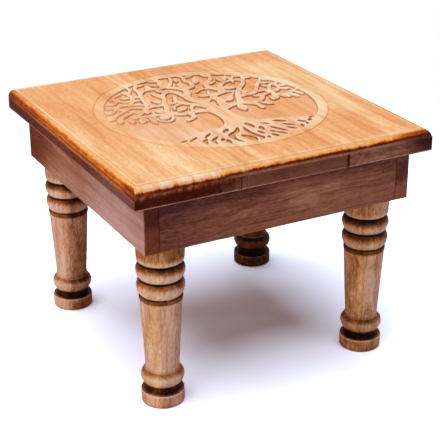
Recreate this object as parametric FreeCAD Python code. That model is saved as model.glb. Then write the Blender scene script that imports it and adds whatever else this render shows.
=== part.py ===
import FreeCAD, Part
import math
import os

# Low square table with a carved top on four turned legs.
# Lengths are in millimetres. +Z is up, +X is to the right and the front faces -Y.
# The origin is on the floor, under the middle of the table.

# Whole table
table_side = 300.0
table_height = 230.0
top_overhang = 15.0

# Top, three boards glued edge to edge with their grain from front to back
top_thickness = 20.0
left_board_width = 100.0
right_board_width = 92.4
edge_step_width = 1.2
edge_step_drop = 0.7
edge_round_radius = 6.2
edge_ledge_width = 0.6
edge_lower_chamfer = 0.8
plan_corner_radius = 2.5

# Carved medallion in the top
medallion_offset_x = 2.5
medallion_offset_y = 4.8
ground_radius = 102.0
ground_depth = 1.8
ring_band_width = 10.0
ring_groove_width = 1.8
ring_groove_depth = 1.0

# Apron frame
apron_height = 49.5
apron_thickness = 14.0

# Corner blocks inside the frame
block_side = 42.0
block_chamfer = 7.0

# Turned legs, from the floor up
leg_inset = 27.0
foot_radius = 20.0
foot_height = 12.5
foot_chamfer = 1.0
neck_radius = 16.0
neck_height = 7.0
ankle_bead_radius = 20.0
ankle_bead_height = 13.6
ankle_bead_foot_radius = 16.5
ankle_bead_head_radius = 16.2
cone_ring_radius = 16.4
cone_ring_height = 1.6
cone_foot_radius = 15.4
cone_head_radius = 19.6
collar_radius = 20.0
collar_height = 3.2
lower_groove_radius = 18.8
lower_groove_height = 1.0
lower_bead_radius = 22.0
lower_bead_height = 14.5
bead_groove_radius = 19.4
bead_groove_height = 1.6
upper_bead_radius = 22.3
upper_bead_height = 13.8
head_groove_radius = 19.4
head_groove_height = 1.8
head_foot_radius = 21.5
head_top_radius = 22.3
head_height = 19.5
head_rounding = 2.0

# Share of each bead's height that lies below its widest point
bead_peak_share = 0.56

# Hanger bolts, half wood screw in the leg and half machine thread in the block
bolt_radius = 4.0
bolt_length = 60.0
bolt_depth_in_leg = 32.0
bolt_tip_length = 5.0
bolt_tip_radius = 1.2
bolt_end_chamfer = 1.0

# Threaded inserts in the undersides of the corner blocks
insert_radius = 6.0
insert_length = 15.0
insert_flange_radius = 7.5
insert_flange_thickness = 1.2

# Countersunk wood screws
screw_radius = 2.0
screw_head_radius = 4.0
screw_head_height = 2.7
screw_tip_length = 4.0
block_screw_length = 40.0
top_screw_length = 36.0
screw_counterbore_radius = 4.6
block_screw_bite = 8.5
top_screw_bite = 13.0
block_screw_spacing = 15.0
block_screw_edge = 19.0
top_screw_edge = 9.0

# Clearances and the overrun of every cut
fastener_clearance = 0.12
bolt_clearance = 0.3
tip_clearance = 0.5
cut_overrun = 2.0

# Tree of life, drawn in shares of the ground's radius, with +Y upwards on the drawing.
# Its trunk spreads into a fan of roots that fills the foot of the circle.
trunk_left_shares = (
    (-0.80, -0.74),
    (-0.70, -0.70),
    (-0.61, -0.67),
    (-0.52, -0.62),
    (-0.42, -0.585),
    (-0.32, -0.57),
    (-0.22, -0.56),
    (-0.14, -0.51),
    (-0.09, -0.42),
    (-0.065, -0.31),
    (-0.065, -0.20),
    (-0.085, -0.11),
    (-0.06, -0.02),
)
trunk_right_shares = (
    (0.17, 0.02),
    (0.12, -0.06),
    (0.10, -0.16),
    (0.095, -0.28),
    (0.12, -0.39),
    (0.17, -0.47),
    (0.24, -0.525),
    (0.33, -0.55),
    (0.43, -0.57),
    (0.53, -0.61),
    (0.63, -0.645),
    (0.72, -0.67),
    (0.84, -0.70),
)
trunk_crotch_shares = (0.075, -0.03)
roots_floor_share = 1.15

# Each limb: its width where it starts, then the points of its centre line
limb_shares = (
    (0.078, (-0.02, -0.10), (-0.10, -0.07), (-0.17, -0.05), (-0.24, -0.06), (-0.32, -0.06), (-0.38, -0.02),
     (-0.42, 0.04), (-0.41, 0.10), (-0.38, 0.16), (-0.36, 0.22), (-0.34, 0.29), (-0.31, 0.36)),
    (0.060, (-0.24, -0.06), (-0.255, -0.11), (-0.265, -0.17), (-0.30, -0.21), (-0.35, -0.24)),
    (0.068, (0.00, -0.03), (-0.04, 0.05), (-0.10, 0.13), (-0.16, 0.19), (-0.20, 0.25), (-0.21, 0.32),
     (-0.18, 0.39), (-0.16, 0.45)),
    (0.045, (-0.18, 0.21), (-0.24, 0.20), (-0.30, 0.16), (-0.33, 0.09)),
    (0.045, (-0.11, 0.13), (-0.16, 0.08), (-0.19, 0.02), (-0.20, -0.05)),
    (0.085, (0.03, -0.02), (0.01, 0.10), (-0.03, 0.19), (-0.065, 0.26), (-0.07, 0.34), (-0.04, 0.42),
     (0.00, 0.49), (0.01, 0.56), (-0.01, 0.62), (-0.05, 0.67), (-0.10, 0.71), (-0.13, 0.77),
     (-0.125, 0.84), (-0.10, 0.91), (-0.11, 1.02)),
    (0.065, (-0.065, 0.33), (-0.08, 0.42), (-0.09, 0.50), (-0.12, 0.56), (-0.17, 0.58), (-0.23, 0.54),
     (-0.27, 0.47), (-0.29, 0.40), (-0.33, 0.32)),
    (0.060, (0.01, 0.54), (0.05, 0.60), (0.10, 0.61), (0.14, 0.66), (0.16, 0.73), (0.14, 0.80),
     (0.15, 0.87), (0.17, 0.92), (0.14, 1.03)),
    (0.045, (-0.09, 0.72), (-0.04, 0.79), (0.01, 0.87), (0.04, 0.95), (0.06, 1.03)),
    (0.058, (-0.12, 0.74), (-0.20, 0.71), (-0.28, 0.735), (-0.36, 0.72), (-0.42, 0.66), (-0.45, 0.58),
     (-0.47, 0.50), (-0.49, 0.42), (-0.50, 0.34), (-0.54, 0.27)),
    (0.050, (-0.42, 0.66), (-0.41, 0.73), (-0.41, 0.80), (-0.38, 0.87), (-0.35, 0.92), (-0.34, 1.00)),
    (0.050, (-0.46, 0.57), (-0.52, 0.60), (-0.54, 0.66), (-0.51, 0.73), (-0.47, 0.80), (-0.46, 0.90)),
    (0.050, (-0.53, 0.60), (-0.57, 0.52), (-0.60, 0.45), (-0.66, 0.41)),
    (0.055, (-0.41, 0.00), (-0.48, 0.01), (-0.55, 0.02), (-0.62, 0.01), (-0.68, 0.04), (-0.74, 0.04),
     (-0.81, 0.01)),
    (0.055, (-0.35, 0.25), (-0.42, 0.26), (-0.50, 0.26), (-0.57, 0.22), (-0.62, 0.17), (-0.66, 0.12),
     (-0.71, 0.08)),
    (0.036, (-0.43, -0.02), (-0.44, -0.10), (-0.48, -0.16), (-0.53, -0.18), (-0.58, -0.14), (-0.60, -0.07),
     (-0.60, 0.00)),
    (0.045, (-0.50, 0.34), (-0.58, 0.37), (-0.66, 0.40), (-0.74, 0.40), (-0.81, 0.35), (-0.88, 0.27)),
    (0.045, (-0.55, 0.25), (-0.62, 0.30), (-0.69, 0.31), (-0.77, 0.26), (-0.85, 0.20), (-0.93, 0.13)),
    (0.040, (-0.66, 0.12), (-0.70, 0.19), (-0.76, 0.17), (-0.84, 0.11), (-0.93, 0.04)),
    (0.078, (0.09, -0.10), (0.17, -0.055), (0.25, -0.035), (0.32, -0.035), (0.38, -0.07), (0.42, -0.13),
     (0.43, -0.19)),
    (0.060, (0.38, -0.08), (0.45, -0.07), (0.51, -0.04), (0.56, 0.01), (0.61, 0.06), (0.66, 0.11),
     (0.71, 0.18), (0.76, 0.26), (0.82, 0.34), (0.88, 0.42)),
    (0.088, (0.13, -0.05), (0.14, 0.04), (0.165, 0.12), (0.155, 0.20), (0.17, 0.27), (0.23, 0.31),
     (0.30, 0.335), (0.33, 0.39), (0.34, 0.45), (0.37, 0.51), (0.41, 0.56), (0.46, 0.60)),
    (0.062, (0.33, 0.40), (0.29, 0.46), (0.255, 0.52), (0.26, 0.59), (0.29, 0.65), (0.34, 0.70),
     (0.39, 0.75), (0.42, 0.81), (0.44, 0.88), (0.47, 0.96)),
    (0.050, (0.02, 0.08), (0.05, 0.16), (0.10, 0.20), (0.16, 0.24)),
    (0.045, (0.31, 0.34), (0.37, 0.32), (0.43, 0.30), (0.48, 0.32)),
    (0.045, (0.16, 0.09), (0.22, 0.10), (0.28, 0.14), (0.33, 0.20), (0.38, 0.26)),
    (0.045, (0.16, 0.28), (0.17, 0.36), (0.20, 0.43), (0.21, 0.49)),
    (0.065, (0.30, -0.03), (0.33, 0.04), (0.36, 0.12), (0.40, 0.20), (0.46, 0.30), (0.53, 0.39),
     (0.60, 0.47), (0.65, 0.55), (0.69, 0.63), (0.73, 0.72)),
    (0.058, (0.38, 0.15), (0.46, 0.155), (0.53, 0.16), (0.59, 0.20), (0.64, 0.27), (0.69, 0.35),
     (0.75, 0.42), (0.81, 0.50), (0.88, 0.60)),
    (0.050, (0.66, -0.05), (0.73, 0.05), (0.79, 0.14), (0.85, 0.22), (0.90, 0.31), (0.95, 0.42)),
    (0.045, (0.72, 0.03), (0.80, -0.01), (0.87, 0.01), (0.93, 0.05), (1.02, 0.10)),
    (0.040, (0.65, 0.56), (0.61, 0.61), (0.56, 0.60), (0.54, 0.55)),
    (0.042, (0.46, 0.60), (0.53, 0.62), (0.58, 0.66), (0.62, 0.72), (0.68, 0.80)),
)

# What a limb keeps of its width at its tip
limb_tip_share = 0.55

# Each pointed leaf: its foot, its tip and its width
leaf_shares = (
    ((-0.45, 0.00), (-0.56, -0.12), 0.095), ((-0.64, 0.01), (-0.63, -0.20), 0.050),
    ((-0.72, 0.04), (-0.76, -0.15), 0.050), ((-0.80, 0.02), (-0.86, -0.12), 0.050),
    ((-0.88, 0.06), (-0.95, -0.09), 0.050), ((-0.20, 0.10), (-0.33, 0.02), 0.055),
    ((-0.20, 0.28), (-0.30, 0.24), 0.045), ((-0.28, 0.43), (-0.32, 0.63), 0.060),
    ((-0.17, 0.58), (-0.25, 0.68), 0.060), ((-0.31, 0.72), (-0.25, 0.85), 0.060),
    ((-0.13, 0.79), (-0.23, 0.86), 0.060), ((-0.40, 0.87), (-0.27, 0.90), 0.045),
    ((-0.11, 0.93), (-0.20, 0.97), 0.040), ((0.03, 0.63), (0.03, 0.78), 0.050),
    ((0.05, 0.82), (0.09, 0.94), 0.045), ((-0.36, 0.30), (-0.42, 0.42), 0.050),
    ((-0.60, 0.46), (-0.71, 0.50), 0.050), ((-0.57, 0.52), (-0.69, 0.60), 0.055),
    ((-0.54, 0.60), (-0.65, 0.70), 0.055), ((-0.52, 0.68), (-0.60, 0.78), 0.050),
    ((-0.49, 0.75), (-0.55, 0.84), 0.045), ((-0.74, 0.40), (-0.84, 0.49), 0.055),
    ((-0.69, 0.40), (-0.77, 0.54), 0.050), ((-0.81, 0.35), (-0.92, 0.38), 0.050),
    ((-0.85, 0.20), (-0.96, 0.25), 0.045), ((-0.73, 0.28), (-0.83, 0.33), 0.045),
    ((-0.93, 0.10), (-0.99, 0.02), 0.040), ((-0.55, 0.24), (-0.60, 0.34), 0.045),
    ((0.27, -0.05), (0.24, -0.24), 0.090), ((0.43, -0.15), (0.42, -0.27), 0.060),
    ((0.46, -0.09), (0.57, -0.20), 0.055), ((0.72, 0.03), (0.62, -0.10), 0.085),
    ((0.84, 0.00), (0.81, -0.14), 0.055), ((0.92, 0.02), (0.88, -0.14), 0.050),
    ((0.98, 0.00), (0.95, -0.15), 0.045), ((0.32, 0.19), (0.24, 0.07), 0.060),
    ((0.37, 0.47), (0.48, 0.39), 0.095), ((0.46, 0.63), (0.52, 0.79), 0.105),
    ((0.20, 0.69), (0.27, 0.86), 0.070), ((0.41, 0.83), (0.37, 0.94), 0.055),
    ((0.28, 0.61), (0.41, 0.68), 0.050), ((0.16, 0.31), (0.04, 0.34), 0.070),
    ((0.18, 0.91), (0.29, 0.95), 0.045), ((0.57, 0.65), (0.56, 0.79), 0.050),
    ((0.62, 0.72), (0.73, 0.71), 0.045), ((0.69, 0.62), (0.80, 0.65), 0.050),
    ((0.75, 0.42), (0.84, 0.38), 0.045), ((0.82, 0.51), (0.92, 0.46), 0.050),
    ((0.88, 0.28), (0.97, 0.26), 0.045), ((0.83, 0.20), (0.95, 0.17), 0.045),
    ((0.45, 0.16), (0.50, 0.27), 0.050), ((0.59, 0.20), (0.70, 0.19), 0.045),
    ((0.48, 0.32), (0.52, 0.20), 0.040), ((0.61, 0.06), (0.50, 0.10), 0.050),
)

# Each slit between the roots: its width in the middle, then the points of its centre line
root_slit_shares = (
    (0.030, (-0.34, -0.63), (-0.45, -0.74)),
    (0.038, (-0.43, -0.75), (-0.48, -0.80), (-0.49, -0.88)),
    (0.036, (-0.32, -0.74), (-0.40, -0.81), (-0.415, -0.92)),
    (0.028, (-0.30, -0.80), (-0.345, -0.87)),
    (0.042, (-0.28, -0.84), (-0.31, -0.96)),
    (0.044, (-0.15, -0.60), (-0.24, -0.70)),
    (0.058, (-0.05, -0.60), (-0.11, -0.70), (-0.20, -0.77), (-0.22, -0.87), (-0.18, -0.98)),
    (0.088, (-0.12, -0.80), (-0.08, -0.90), (-0.08, -1.00)),
    (0.056, (0.00, -0.62), (-0.025, -0.74), (-0.015, -0.85), (0.015, -0.94), (-0.03, -1.00)),
    (0.060, (0.06, -0.54), (0.075, -0.69)),
    (0.046, (0.14, -0.68), (0.11, -0.79)),
    (0.040, (0.06, -0.77), (0.075, -0.88)),
    (0.028, (0.085, -0.93), (0.06, -0.99)),
    (0.034, (0.18, -0.60), (0.25, -0.68)),
    (0.052, (0.31, -0.61), (0.42, -0.68)),
    (0.050, (0.215, -0.71), (0.25, -0.82), (0.31, -0.91)),
    (0.042, (0.34, -0.72), (0.44, -0.81)),
    (0.044, (0.34, -0.80), (0.40, -0.90)),
    (0.034, (0.165, -0.82), (0.185, -0.88)),
    (0.046, (0.135, -0.90), (0.155, -1.00)),
    (0.044, (0.20, -0.87), (0.26, -0.97)),
    (0.044, (0.51, -0.71), (0.57, -0.78)),
    (0.034, (0.65, -0.72), (0.60, -0.77)),
    (0.034, (0.50, -0.81), (0.47, -0.88)),
    (0.026, (0.57, -0.79), (0.54, -0.84)),
    (0.034, (0.64, -0.70), (0.72, -0.67)),
    (0.030, (-0.49, -0.665), (-0.61, -0.76)),
    (0.026, (-0.59, -0.70), (-0.72, -0.74)),
)

# How full a slit stays towards its pointed ends: 1 is the arch of a sine, less is fuller
slit_fullness = 0.7

# Points along the edges of a limb or slit for each span of its centre line
edge_points_per_span = 2

# Places worked out from the sizes above
half_side = table_side / 2
top_underside = table_height - top_thickness
apron_underside = top_underside - apron_height
apron_outer = half_side - top_overhang
apron_inner = apron_outer - apron_thickness
block_inner = apron_inner - block_side
leg_axis = apron_outer - leg_inset
ring_groove_radius = ground_radius + ring_band_width
left_joint = left_board_width - half_side
right_joint = half_side - right_board_width
up = FreeCAD.Vector(0, 0, 1)
down = -up
medallion_centre = FreeCAD.Vector(medallion_offset_x, medallion_offset_y, table_height)
corners = (("front_left", -1, -1), ("front_right", 1, -1), ("back_left", -1, 1), ("back_right", 1, 1))


def point(x, y, z=0.0):
    return FreeCAD.Vector(x, y, z)


def line(start, end):
    return Part.LineSegment(start, end).toShape()


def arc(start, middle, end):
    return Part.Arc(start, middle, end).toShape()


def box(low, high):
    size = high - low
    return Part.makeBox(size.x, size.y, size.z, low)


def rod(radius, start, direction, length):
    """A cylinder that begins at start and runs along direction."""
    return Part.makeCylinder(radius, length, start, direction)


def turned(edges):
    """A solid turned about the Z axis from the edges of its outline in the XZ plane."""
    return Part.Face(Part.Wire(edges)).revolve(point(0, 0), up, 360)


def outline_edges(points):
    """The straight edges of a closed outline."""
    return [line(a, b) for a, b in zip(points, points[1:] + points[:1])]


def aimed(shape, start, direction):
    """The shape moved so that its origin is at start and its +Z runs along direction."""
    moved = shape.copy()
    moved.Placement = FreeCAD.Placement(start, FreeCAD.Rotation(up, direction))
    return moved


def cut_where_met(shape, tools):
    """The shape less every tool whose box meets it."""
    return shape.cut([tool for tool in tools if tool.BoundBox.intersect(shape.BoundBox)])


# The top


def edge_outline():
    """One edge of the top in section, from its underside up: an eased arris, an upright face,
    a ledge, a quarter round and a step down from the flat."""
    step_level = table_height - edge_step_drop
    ledge_level = step_level - edge_round_radius
    ledge_start = half_side - edge_ledge_width
    round_start = ledge_start - edge_round_radius
    step_start = round_start - edge_step_width
    slant = edge_round_radius * math.sqrt(0.5)
    points = [
        (half_side - edge_lower_chamfer, top_underside),
        (half_side, top_underside + edge_lower_chamfer),
        (half_side, ledge_level),
        (ledge_start, ledge_level),
        (round_start + slant, ledge_level + slant),
        (round_start, step_level),
        (step_start, step_level),
        (step_start, table_height),
    ]
    return [point(x, 0, z) for x, z in points]


def edge_profile():
    """The section of the top across its width, with the same moulding at both ends."""
    right = edge_outline()
    left = [point(-corner.x, 0, corner.z) for corner in right]
    edges = [line(right[-1], left[-1]), line(left[0], right[0])]
    for outline in (right, left):
        edges += [line(a, b) for a, b in zip(outline[:3], outline[1:4])]
        edges.append(arc(*outline[3:6]))
        edges += [line(a, b) for a, b in zip(outline[5:7], outline[6:])]
    return Part.Face(Part.Wire(Part.sortEdges(edges)[0]))


def eased_square():
    """The plan of the top as an upright prism, its corners eased."""
    side = half_side - plan_corner_radius
    middle = side + plan_corner_radius * math.sqrt(0.5)
    edges = []
    for turn in range(4):
        spin = FreeCAD.Rotation(up, 90 * turn)
        plan = [(half_side, -side), (half_side, side), (middle, middle), (side, half_side)]
        low, high, bend, end = [spin.multVec(point(x, y, top_underside)) for x, y in plan]
        edges += [line(low, high), arc(high, bend, end)]
    return Part.Face(Part.Wire(edges)).extrude(up * top_thickness)


def uncarved_top():
    """The whole top before it is carved: two crossed mouldings, mitred at the corners."""
    section = edge_profile()
    section.translate(point(0, -half_side))
    front_to_back = section.extrude(point(0, table_side))
    left_to_right = front_to_back.copy()
    left_to_right.rotate(point(0, 0), up, 90)
    return front_to_back.common(left_to_right).common(eased_square())


def drawn(share):
    """A point of the drawing at its real place in the medallion."""
    return point(share[0] * ground_radius, share[1] * ground_radius)


def smooth(points):
    curve = Part.BSplineCurve()
    curve.interpolate(points)
    return curve


def stroke_edges(stroke, steps, reach_share):
    """The points of both edges of a stroke, a width and then the points of its centre line.
    reach_share is what part of the half width the edges keep at a share of the way along."""
    curve = smooth([drawn(share) for share in stroke[1:]])
    half_width = stroke[0] * ground_radius / 2
    left, right = [], []
    for step in range(steps + 1):
        at = curve.LastParameter * step / steps
        along = curve.tangent(at)[0]
        across = point(-along.y, along.x) * (half_width * reach_share(step / steps))
        left.append(curve.value(at) + across)
        right.append(curve.value(at) - across)
    return left, right


def round_end(start, end):
    """Half a circle from start to end that bulges to the right of the way between them."""
    across = (end - start) / 2
    return arc(start, start + across + point(across.y, -across.x), end)


def limb_face(limb):
    """A limb that tapers along its centre line and is round at both ends."""
    steps = edge_points_per_span * (len(limb) - 2)
    left, right = stroke_edges(limb, steps, lambda share: 1 - (1 - limb_tip_share) * share)
    edges = [
        smooth(right).toShape(),
        round_end(right[-1], left[-1]),
        smooth(left[::-1]).toShape(),
        round_end(left[0], right[0]),
    ]
    return Part.Face(Part.Wire(edges))


def slit_face(slit):
    """A slit that is widest in the middle and pointed at both ends."""
    steps = edge_points_per_span * len(slit)
    left, right = stroke_edges(slit, steps, lambda share: math.sin(math.pi * share) ** slit_fullness)
    foot, tip = left[0], left[-1]
    sides = [smooth([foot] + edge[1:-1] + [tip]).toShape() for edge in (left, right)]
    return Part.Face(Part.Wire(sides))


def leaf_face(foot, tip, width_share):
    """A pointed leaf between two arcs."""
    along = tip - foot
    across = point(-along.y, along.x).normalize() * (width_share * ground_radius / 2)
    middle = (foot + tip) / 2
    return Part.Face(Part.Wire([arc(foot, middle + across, tip), arc(tip, middle - across, foot)]))


def trunk_face():
    """The trunk and the root fan, down past the rim."""
    left = smooth([drawn(share) for share in trunk_left_shares])
    right = smooth([drawn(share) for share in trunk_right_shares])
    floor = -roots_floor_share
    left_foot = drawn((trunk_left_shares[0][0], floor))
    right_foot = drawn((trunk_right_shares[-1][0], floor))
    edges = [
        left.toShape(),
        arc(drawn(trunk_left_shares[-1]), drawn(trunk_crotch_shares), drawn(trunk_right_shares[0])),
        right.toShape(),
        line(drawn(trunk_right_shares[-1]), right_foot),
        line(right_foot, left_foot),
        line(left_foot, drawn(trunk_left_shares[0])),
    ]
    return Part.Face(Part.Wire(edges))


def carved_pockets():
    """What the carver takes out: the ground round the tree and the slits between its roots.
    A pocket smaller than the tool that cuts the ring is left uncut."""
    disc = Part.Face(Part.Wire(Part.makeCircle(ground_radius)))
    standing = [trunk_face()]
    standing += [limb_face(limb) for limb in limb_shares]
    standing += [leaf_face(drawn(foot), drawn(tip), width) for foot, tip, width in leaf_shares]
    ground = disc.cut(standing)
    slits = [slit_face(slit) for slit in root_slit_shares]
    smallest = ring_groove_width**2
    pockets = []
    for face in ground.Faces + slits:
        if face.Area > smallest:
            pocket = face.extrude(up * (ground_depth + cut_overrun))
            pocket.translate(medallion_centre - up * ground_depth)
            pockets.append(pocket)
    return pockets


def ring_groove():
    """The incised V ring round the medallion."""
    half_width = ring_groove_width / 2
    rise = cut_overrun * half_width / ring_groove_depth
    section = [
        point(ring_groove_radius - half_width - rise, 0, cut_overrun),
        point(ring_groove_radius, 0, -ring_groove_depth),
        point(ring_groove_radius + half_width + rise, 0, cut_overrun),
    ]
    groove = turned(outline_edges(section))
    groove.translate(medallion_centre)
    return groove


def top_boards():
    """The three boards of the top, with the carving running across their joints."""
    top = uncarved_top()
    tools = carved_pockets() + [ring_groove()] + [top_screw_hole(mark) for mark in corners]
    sides = {
        "left": (-half_side, left_joint),
        "middle": (left_joint, right_joint),
        "right": (right_joint, half_side),
    }
    boards = {}
    for side, (low, high) in sides.items():
        stock = box(point(low, -half_side, top_underside), point(high, half_side, table_height))
        boards["top_board_" + side] = cut_where_met(top.common(stock), tools)
    return boards


# The apron frame


def aprons():
    """Front and back aprons held between the two side aprons."""
    plans = {
        "apron_front": (-apron_inner, -apron_outer, apron_inner, -apron_inner),
        "apron_back": (-apron_inner, apron_inner, apron_inner, apron_outer),
        "apron_left": (-apron_outer, -apron_outer, -apron_inner, apron_outer),
        "apron_right": (apron_inner, -apron_outer, apron_outer, apron_outer),
    }
    holes = [hole for mark in corners for hole in block_screw_holes(mark)]
    boards = {}
    for name, (left, front, right, back) in plans.items():
        board = box(point(left, front, apron_underside), point(right, back, top_underside))
        boards[name] = cut_where_met(board, holes)
    return boards


def corner_block(mark):
    """A glue block in one corner of the frame, bored for every fastener that passes through it."""
    near, far, eased = block_inner, apron_inner, block_inner + block_chamfer
    plan = [(eased, near), (far, near), (far, far), (near, far), (near, eased)]
    outline = [point(mark[1] * x, mark[2] * y, apron_underside) for x, y in plan]
    block = Part.Face(Part.Wire(outline_edges(outline))).extrude(up * apron_height)
    bores = [insert_bore(mark), bolt_bore(mark), top_screw_hole(mark)] + block_screw_holes(mark)
    return block.cut(bores)


# The turned legs


def leg_outline():
    """The outline of a leg from its foot up, as straight edges and the arcs of its beads."""
    neck_top = foot_height + neck_height
    ankle_top = neck_top + ankle_bead_height
    ring_top = ankle_top + cone_ring_height
    head_foot = apron_underside - head_height
    upper_bead_top = head_foot - head_groove_height
    upper_bead_foot = upper_bead_top - upper_bead_height
    lower_bead_top = upper_bead_foot - bead_groove_height
    lower_bead_foot = lower_bead_top - lower_bead_height
    collar_top = lower_bead_foot - lower_groove_height
    collar_foot = collar_top - collar_height
    outline = [point(0, 0)]
    edges = []

    def run(radius, level):
        """A straight stretch."""
        outline.append(point(radius, 0, level))
        edges.append(line(*outline[-2:]))

    def swell_middle(peak, end):
        """The middle of an arc that runs upright at a bead's widest point."""
        rise = end.z - peak.z
        reach = peak.x - end.x
        radius = (reach**2 + rise**2) / (2 * reach)
        angle = math.atan2(rise, radius - reach) / 2
        return peak + point(radius * (math.cos(angle) - 1), 0, radius * math.sin(angle))

    def bead(peak_radius, radius, level):
        """Two arcs that meet at the widest point of a bead."""
        foot = outline[-1]
        peak = point(peak_radius, 0, foot.z + (level - foot.z) * bead_peak_share)
        head = point(radius, 0, level)
        edges.append(arc(foot, swell_middle(peak, foot), peak))
        edges.append(arc(peak, swell_middle(peak, head), head))
        outline.append(head)

    run(foot_radius - foot_chamfer, 0)
    run(foot_radius, foot_chamfer)
    run(foot_radius, foot_height)
    run(neck_radius, foot_height)
    run(neck_radius, neck_top)
    run(ankle_bead_foot_radius, neck_top)
    bead(ankle_bead_radius, ankle_bead_head_radius, ankle_top)
    run(cone_ring_radius, ankle_top)
    run(cone_ring_radius, ring_top)
    run(cone_foot_radius, ring_top)
    run(cone_head_radius, collar_foot)
    run(collar_radius, collar_foot)
    run(collar_radius, collar_top)
    run(lower_groove_radius, collar_top)
    run(lower_groove_radius, lower_bead_foot)
    bead(lower_bead_radius, bead_groove_radius, lower_bead_top)
    run(bead_groove_radius, upper_bead_foot)
    bead(upper_bead_radius, head_groove_radius, upper_bead_top)
    run(head_groove_radius, head_foot)
    run(head_foot_radius - head_rounding, head_foot)
    run(head_foot_radius, head_foot + head_rounding)
    run(head_top_radius, apron_underside)
    run(0, apron_underside)
    return edges + [line(outline[-1], outline[0])]


def leg(mark):
    """A turned leg with the bore for its hanger bolt."""
    body = turned(leg_outline())
    body.translate(leg_place(mark))
    depth = bolt_depth_in_leg + tip_clearance
    bore = rod(bolt_radius + fastener_clearance, leg_joint(mark) + down * depth, up, depth + cut_overrun)
    return body.cut(bore)


# Where the fasteners go


def leg_place(mark):
    """The foot of a leg's axis on the floor."""
    return point(mark[1] * leg_axis, mark[2] * leg_axis)


def leg_joint(mark):
    """Where a leg's axis meets the underside of its corner block."""
    return leg_place(mark) + up * apron_underside


def bolt_bore(mark):
    """The bore in a corner block for the machine thread of the hanger bolt."""
    depth = bolt_length - bolt_depth_in_leg + tip_clearance
    return rod(bolt_radius + bolt_clearance, leg_joint(mark) + down * cut_overrun, up, depth + cut_overrun)


def insert_bore(mark):
    """The seat of the threaded insert, with a shallow pocket for its flange."""
    foot = leg_joint(mark) + down * cut_overrun
    body = rod(insert_radius + fastener_clearance, foot, up, insert_length + tip_clearance + cut_overrun)
    flange = rod(insert_flange_radius + fastener_clearance, foot, up, insert_flange_thickness + cut_overrun)
    return body.fuse(flange)


def screw_hole(length, head_depth):
    """The hole for a screw that points along +Z with its head's top at the origin, below a counterbore."""
    narrow = screw_radius + fastener_clearance
    wide = screw_counterbore_radius
    seat = screw_head_height * (wide - narrow) / (screw_head_radius - screw_radius)
    foot = length + tip_clearance
    section = [
        point(0, 0, -head_depth - cut_overrun),
        point(wide, 0, -head_depth - cut_overrun),
        point(wide, 0, screw_head_height - seat),
        point(narrow, 0, screw_head_height),
        point(narrow, 0, foot - screw_tip_length),
        point(0, 0, foot),
    ]
    return turned(outline_edges(section))


def screw(length):
    """A countersunk wood screw that points along +Z with its head's top at the origin."""
    section = [
        point(0, 0, 0),
        point(screw_head_radius, 0, 0),
        point(screw_radius, 0, screw_head_height),
        point(screw_radius, 0, length - screw_tip_length),
        point(0, 0, length),
    ]
    return turned(outline_edges(section))


def block_screw_places(mark):
    """Head position and direction of the two screws that hold a block to its two aprons."""
    head = apron_inner + block_screw_bite - block_screw_length
    aside = block_inner + block_screw_edge
    middle = apron_underside + apron_height / 2
    across = point(mark[1] * head, mark[2] * aside, middle + block_screw_spacing / 2)
    along = point(mark[1] * aside, mark[2] * head, middle - block_screw_spacing / 2)
    return [(across, point(mark[1], 0)), (along, point(0, mark[2]))]


def block_screw_holes(mark):
    depth = apron_inner + block_screw_bite - block_screw_length - block_inner
    hole = screw_hole(block_screw_length, depth)
    return [aimed(hole, start, way) for start, way in block_screw_places(mark)]


def top_screw_place(mark):
    """Head position of the screw that rises through a corner block into the top."""
    aside = block_inner + top_screw_edge
    return point(mark[1] * aside, mark[2] * aside, top_underside + top_screw_bite - top_screw_length)


def top_screw_hole(mark):
    start = top_screw_place(mark)
    return aimed(screw_hole(top_screw_length, start.z - apron_underside), start, up)


# The fasteners


def hanger_bolt(mark):
    """A bolt that tapers to a wood screw's tip in the leg and ends in a chamfer in the block."""
    shank_end = bolt_length - bolt_end_chamfer
    section = [
        point(0, 0, 0),
        point(bolt_tip_radius, 0, 0),
        point(bolt_radius, 0, bolt_tip_length),
        point(bolt_radius, 0, shank_end),
        point(bolt_radius - bolt_end_chamfer, 0, bolt_length),
        point(0, 0, bolt_length),
    ]
    bolt = turned(outline_edges(section))
    bolt.translate(leg_joint(mark) + down * bolt_depth_in_leg)
    return bolt


def threaded_insert(mark):
    """A flanged insert that receives the bolt's machine thread."""
    foot = leg_joint(mark)
    flange = rod(insert_flange_radius, foot, up, insert_flange_thickness)
    body = rod(insert_radius, foot, up, insert_length)
    bore_length = insert_length + 2 * cut_overrun
    bore = rod(bolt_radius + fastener_clearance, foot + down * cut_overrun, up, bore_length)
    return flange.fuse(body).cut(bore)


def fasteners():
    """Each kind of fastener as one group of separate solids."""
    groups = {"leg_bolts": [], "leg_inserts": [], "block_screws": [], "top_screws": []}
    for mark in corners:
        groups["leg_bolts"].append(hanger_bolt(mark))
        groups["leg_inserts"].append(threaded_insert(mark))
        for start, way in block_screw_places(mark):
            groups["block_screws"].append(aimed(screw(block_screw_length), start, way))
        groups["top_screws"].append(aimed(screw(top_screw_length), top_screw_place(mark), up))
    return {name: Part.makeCompound(solids) for name, solids in groups.items()}


def main():
    pieces = top_boards()
    pieces.update(aprons())
    for mark in corners:
        pieces["corner_block_" + mark[0]] = corner_block(mark)
        pieces["leg_" + mark[0]] = leg(mark)
    pieces.update(fasteners())
    os.makedirs("parts", exist_ok=True)
    for name, shape in pieces.items():
        shape.exportStep("parts/" + name + ".step")


main()
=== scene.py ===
import math

import bpy
import numpy as np
from mathutils import Matrix, Vector


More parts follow.
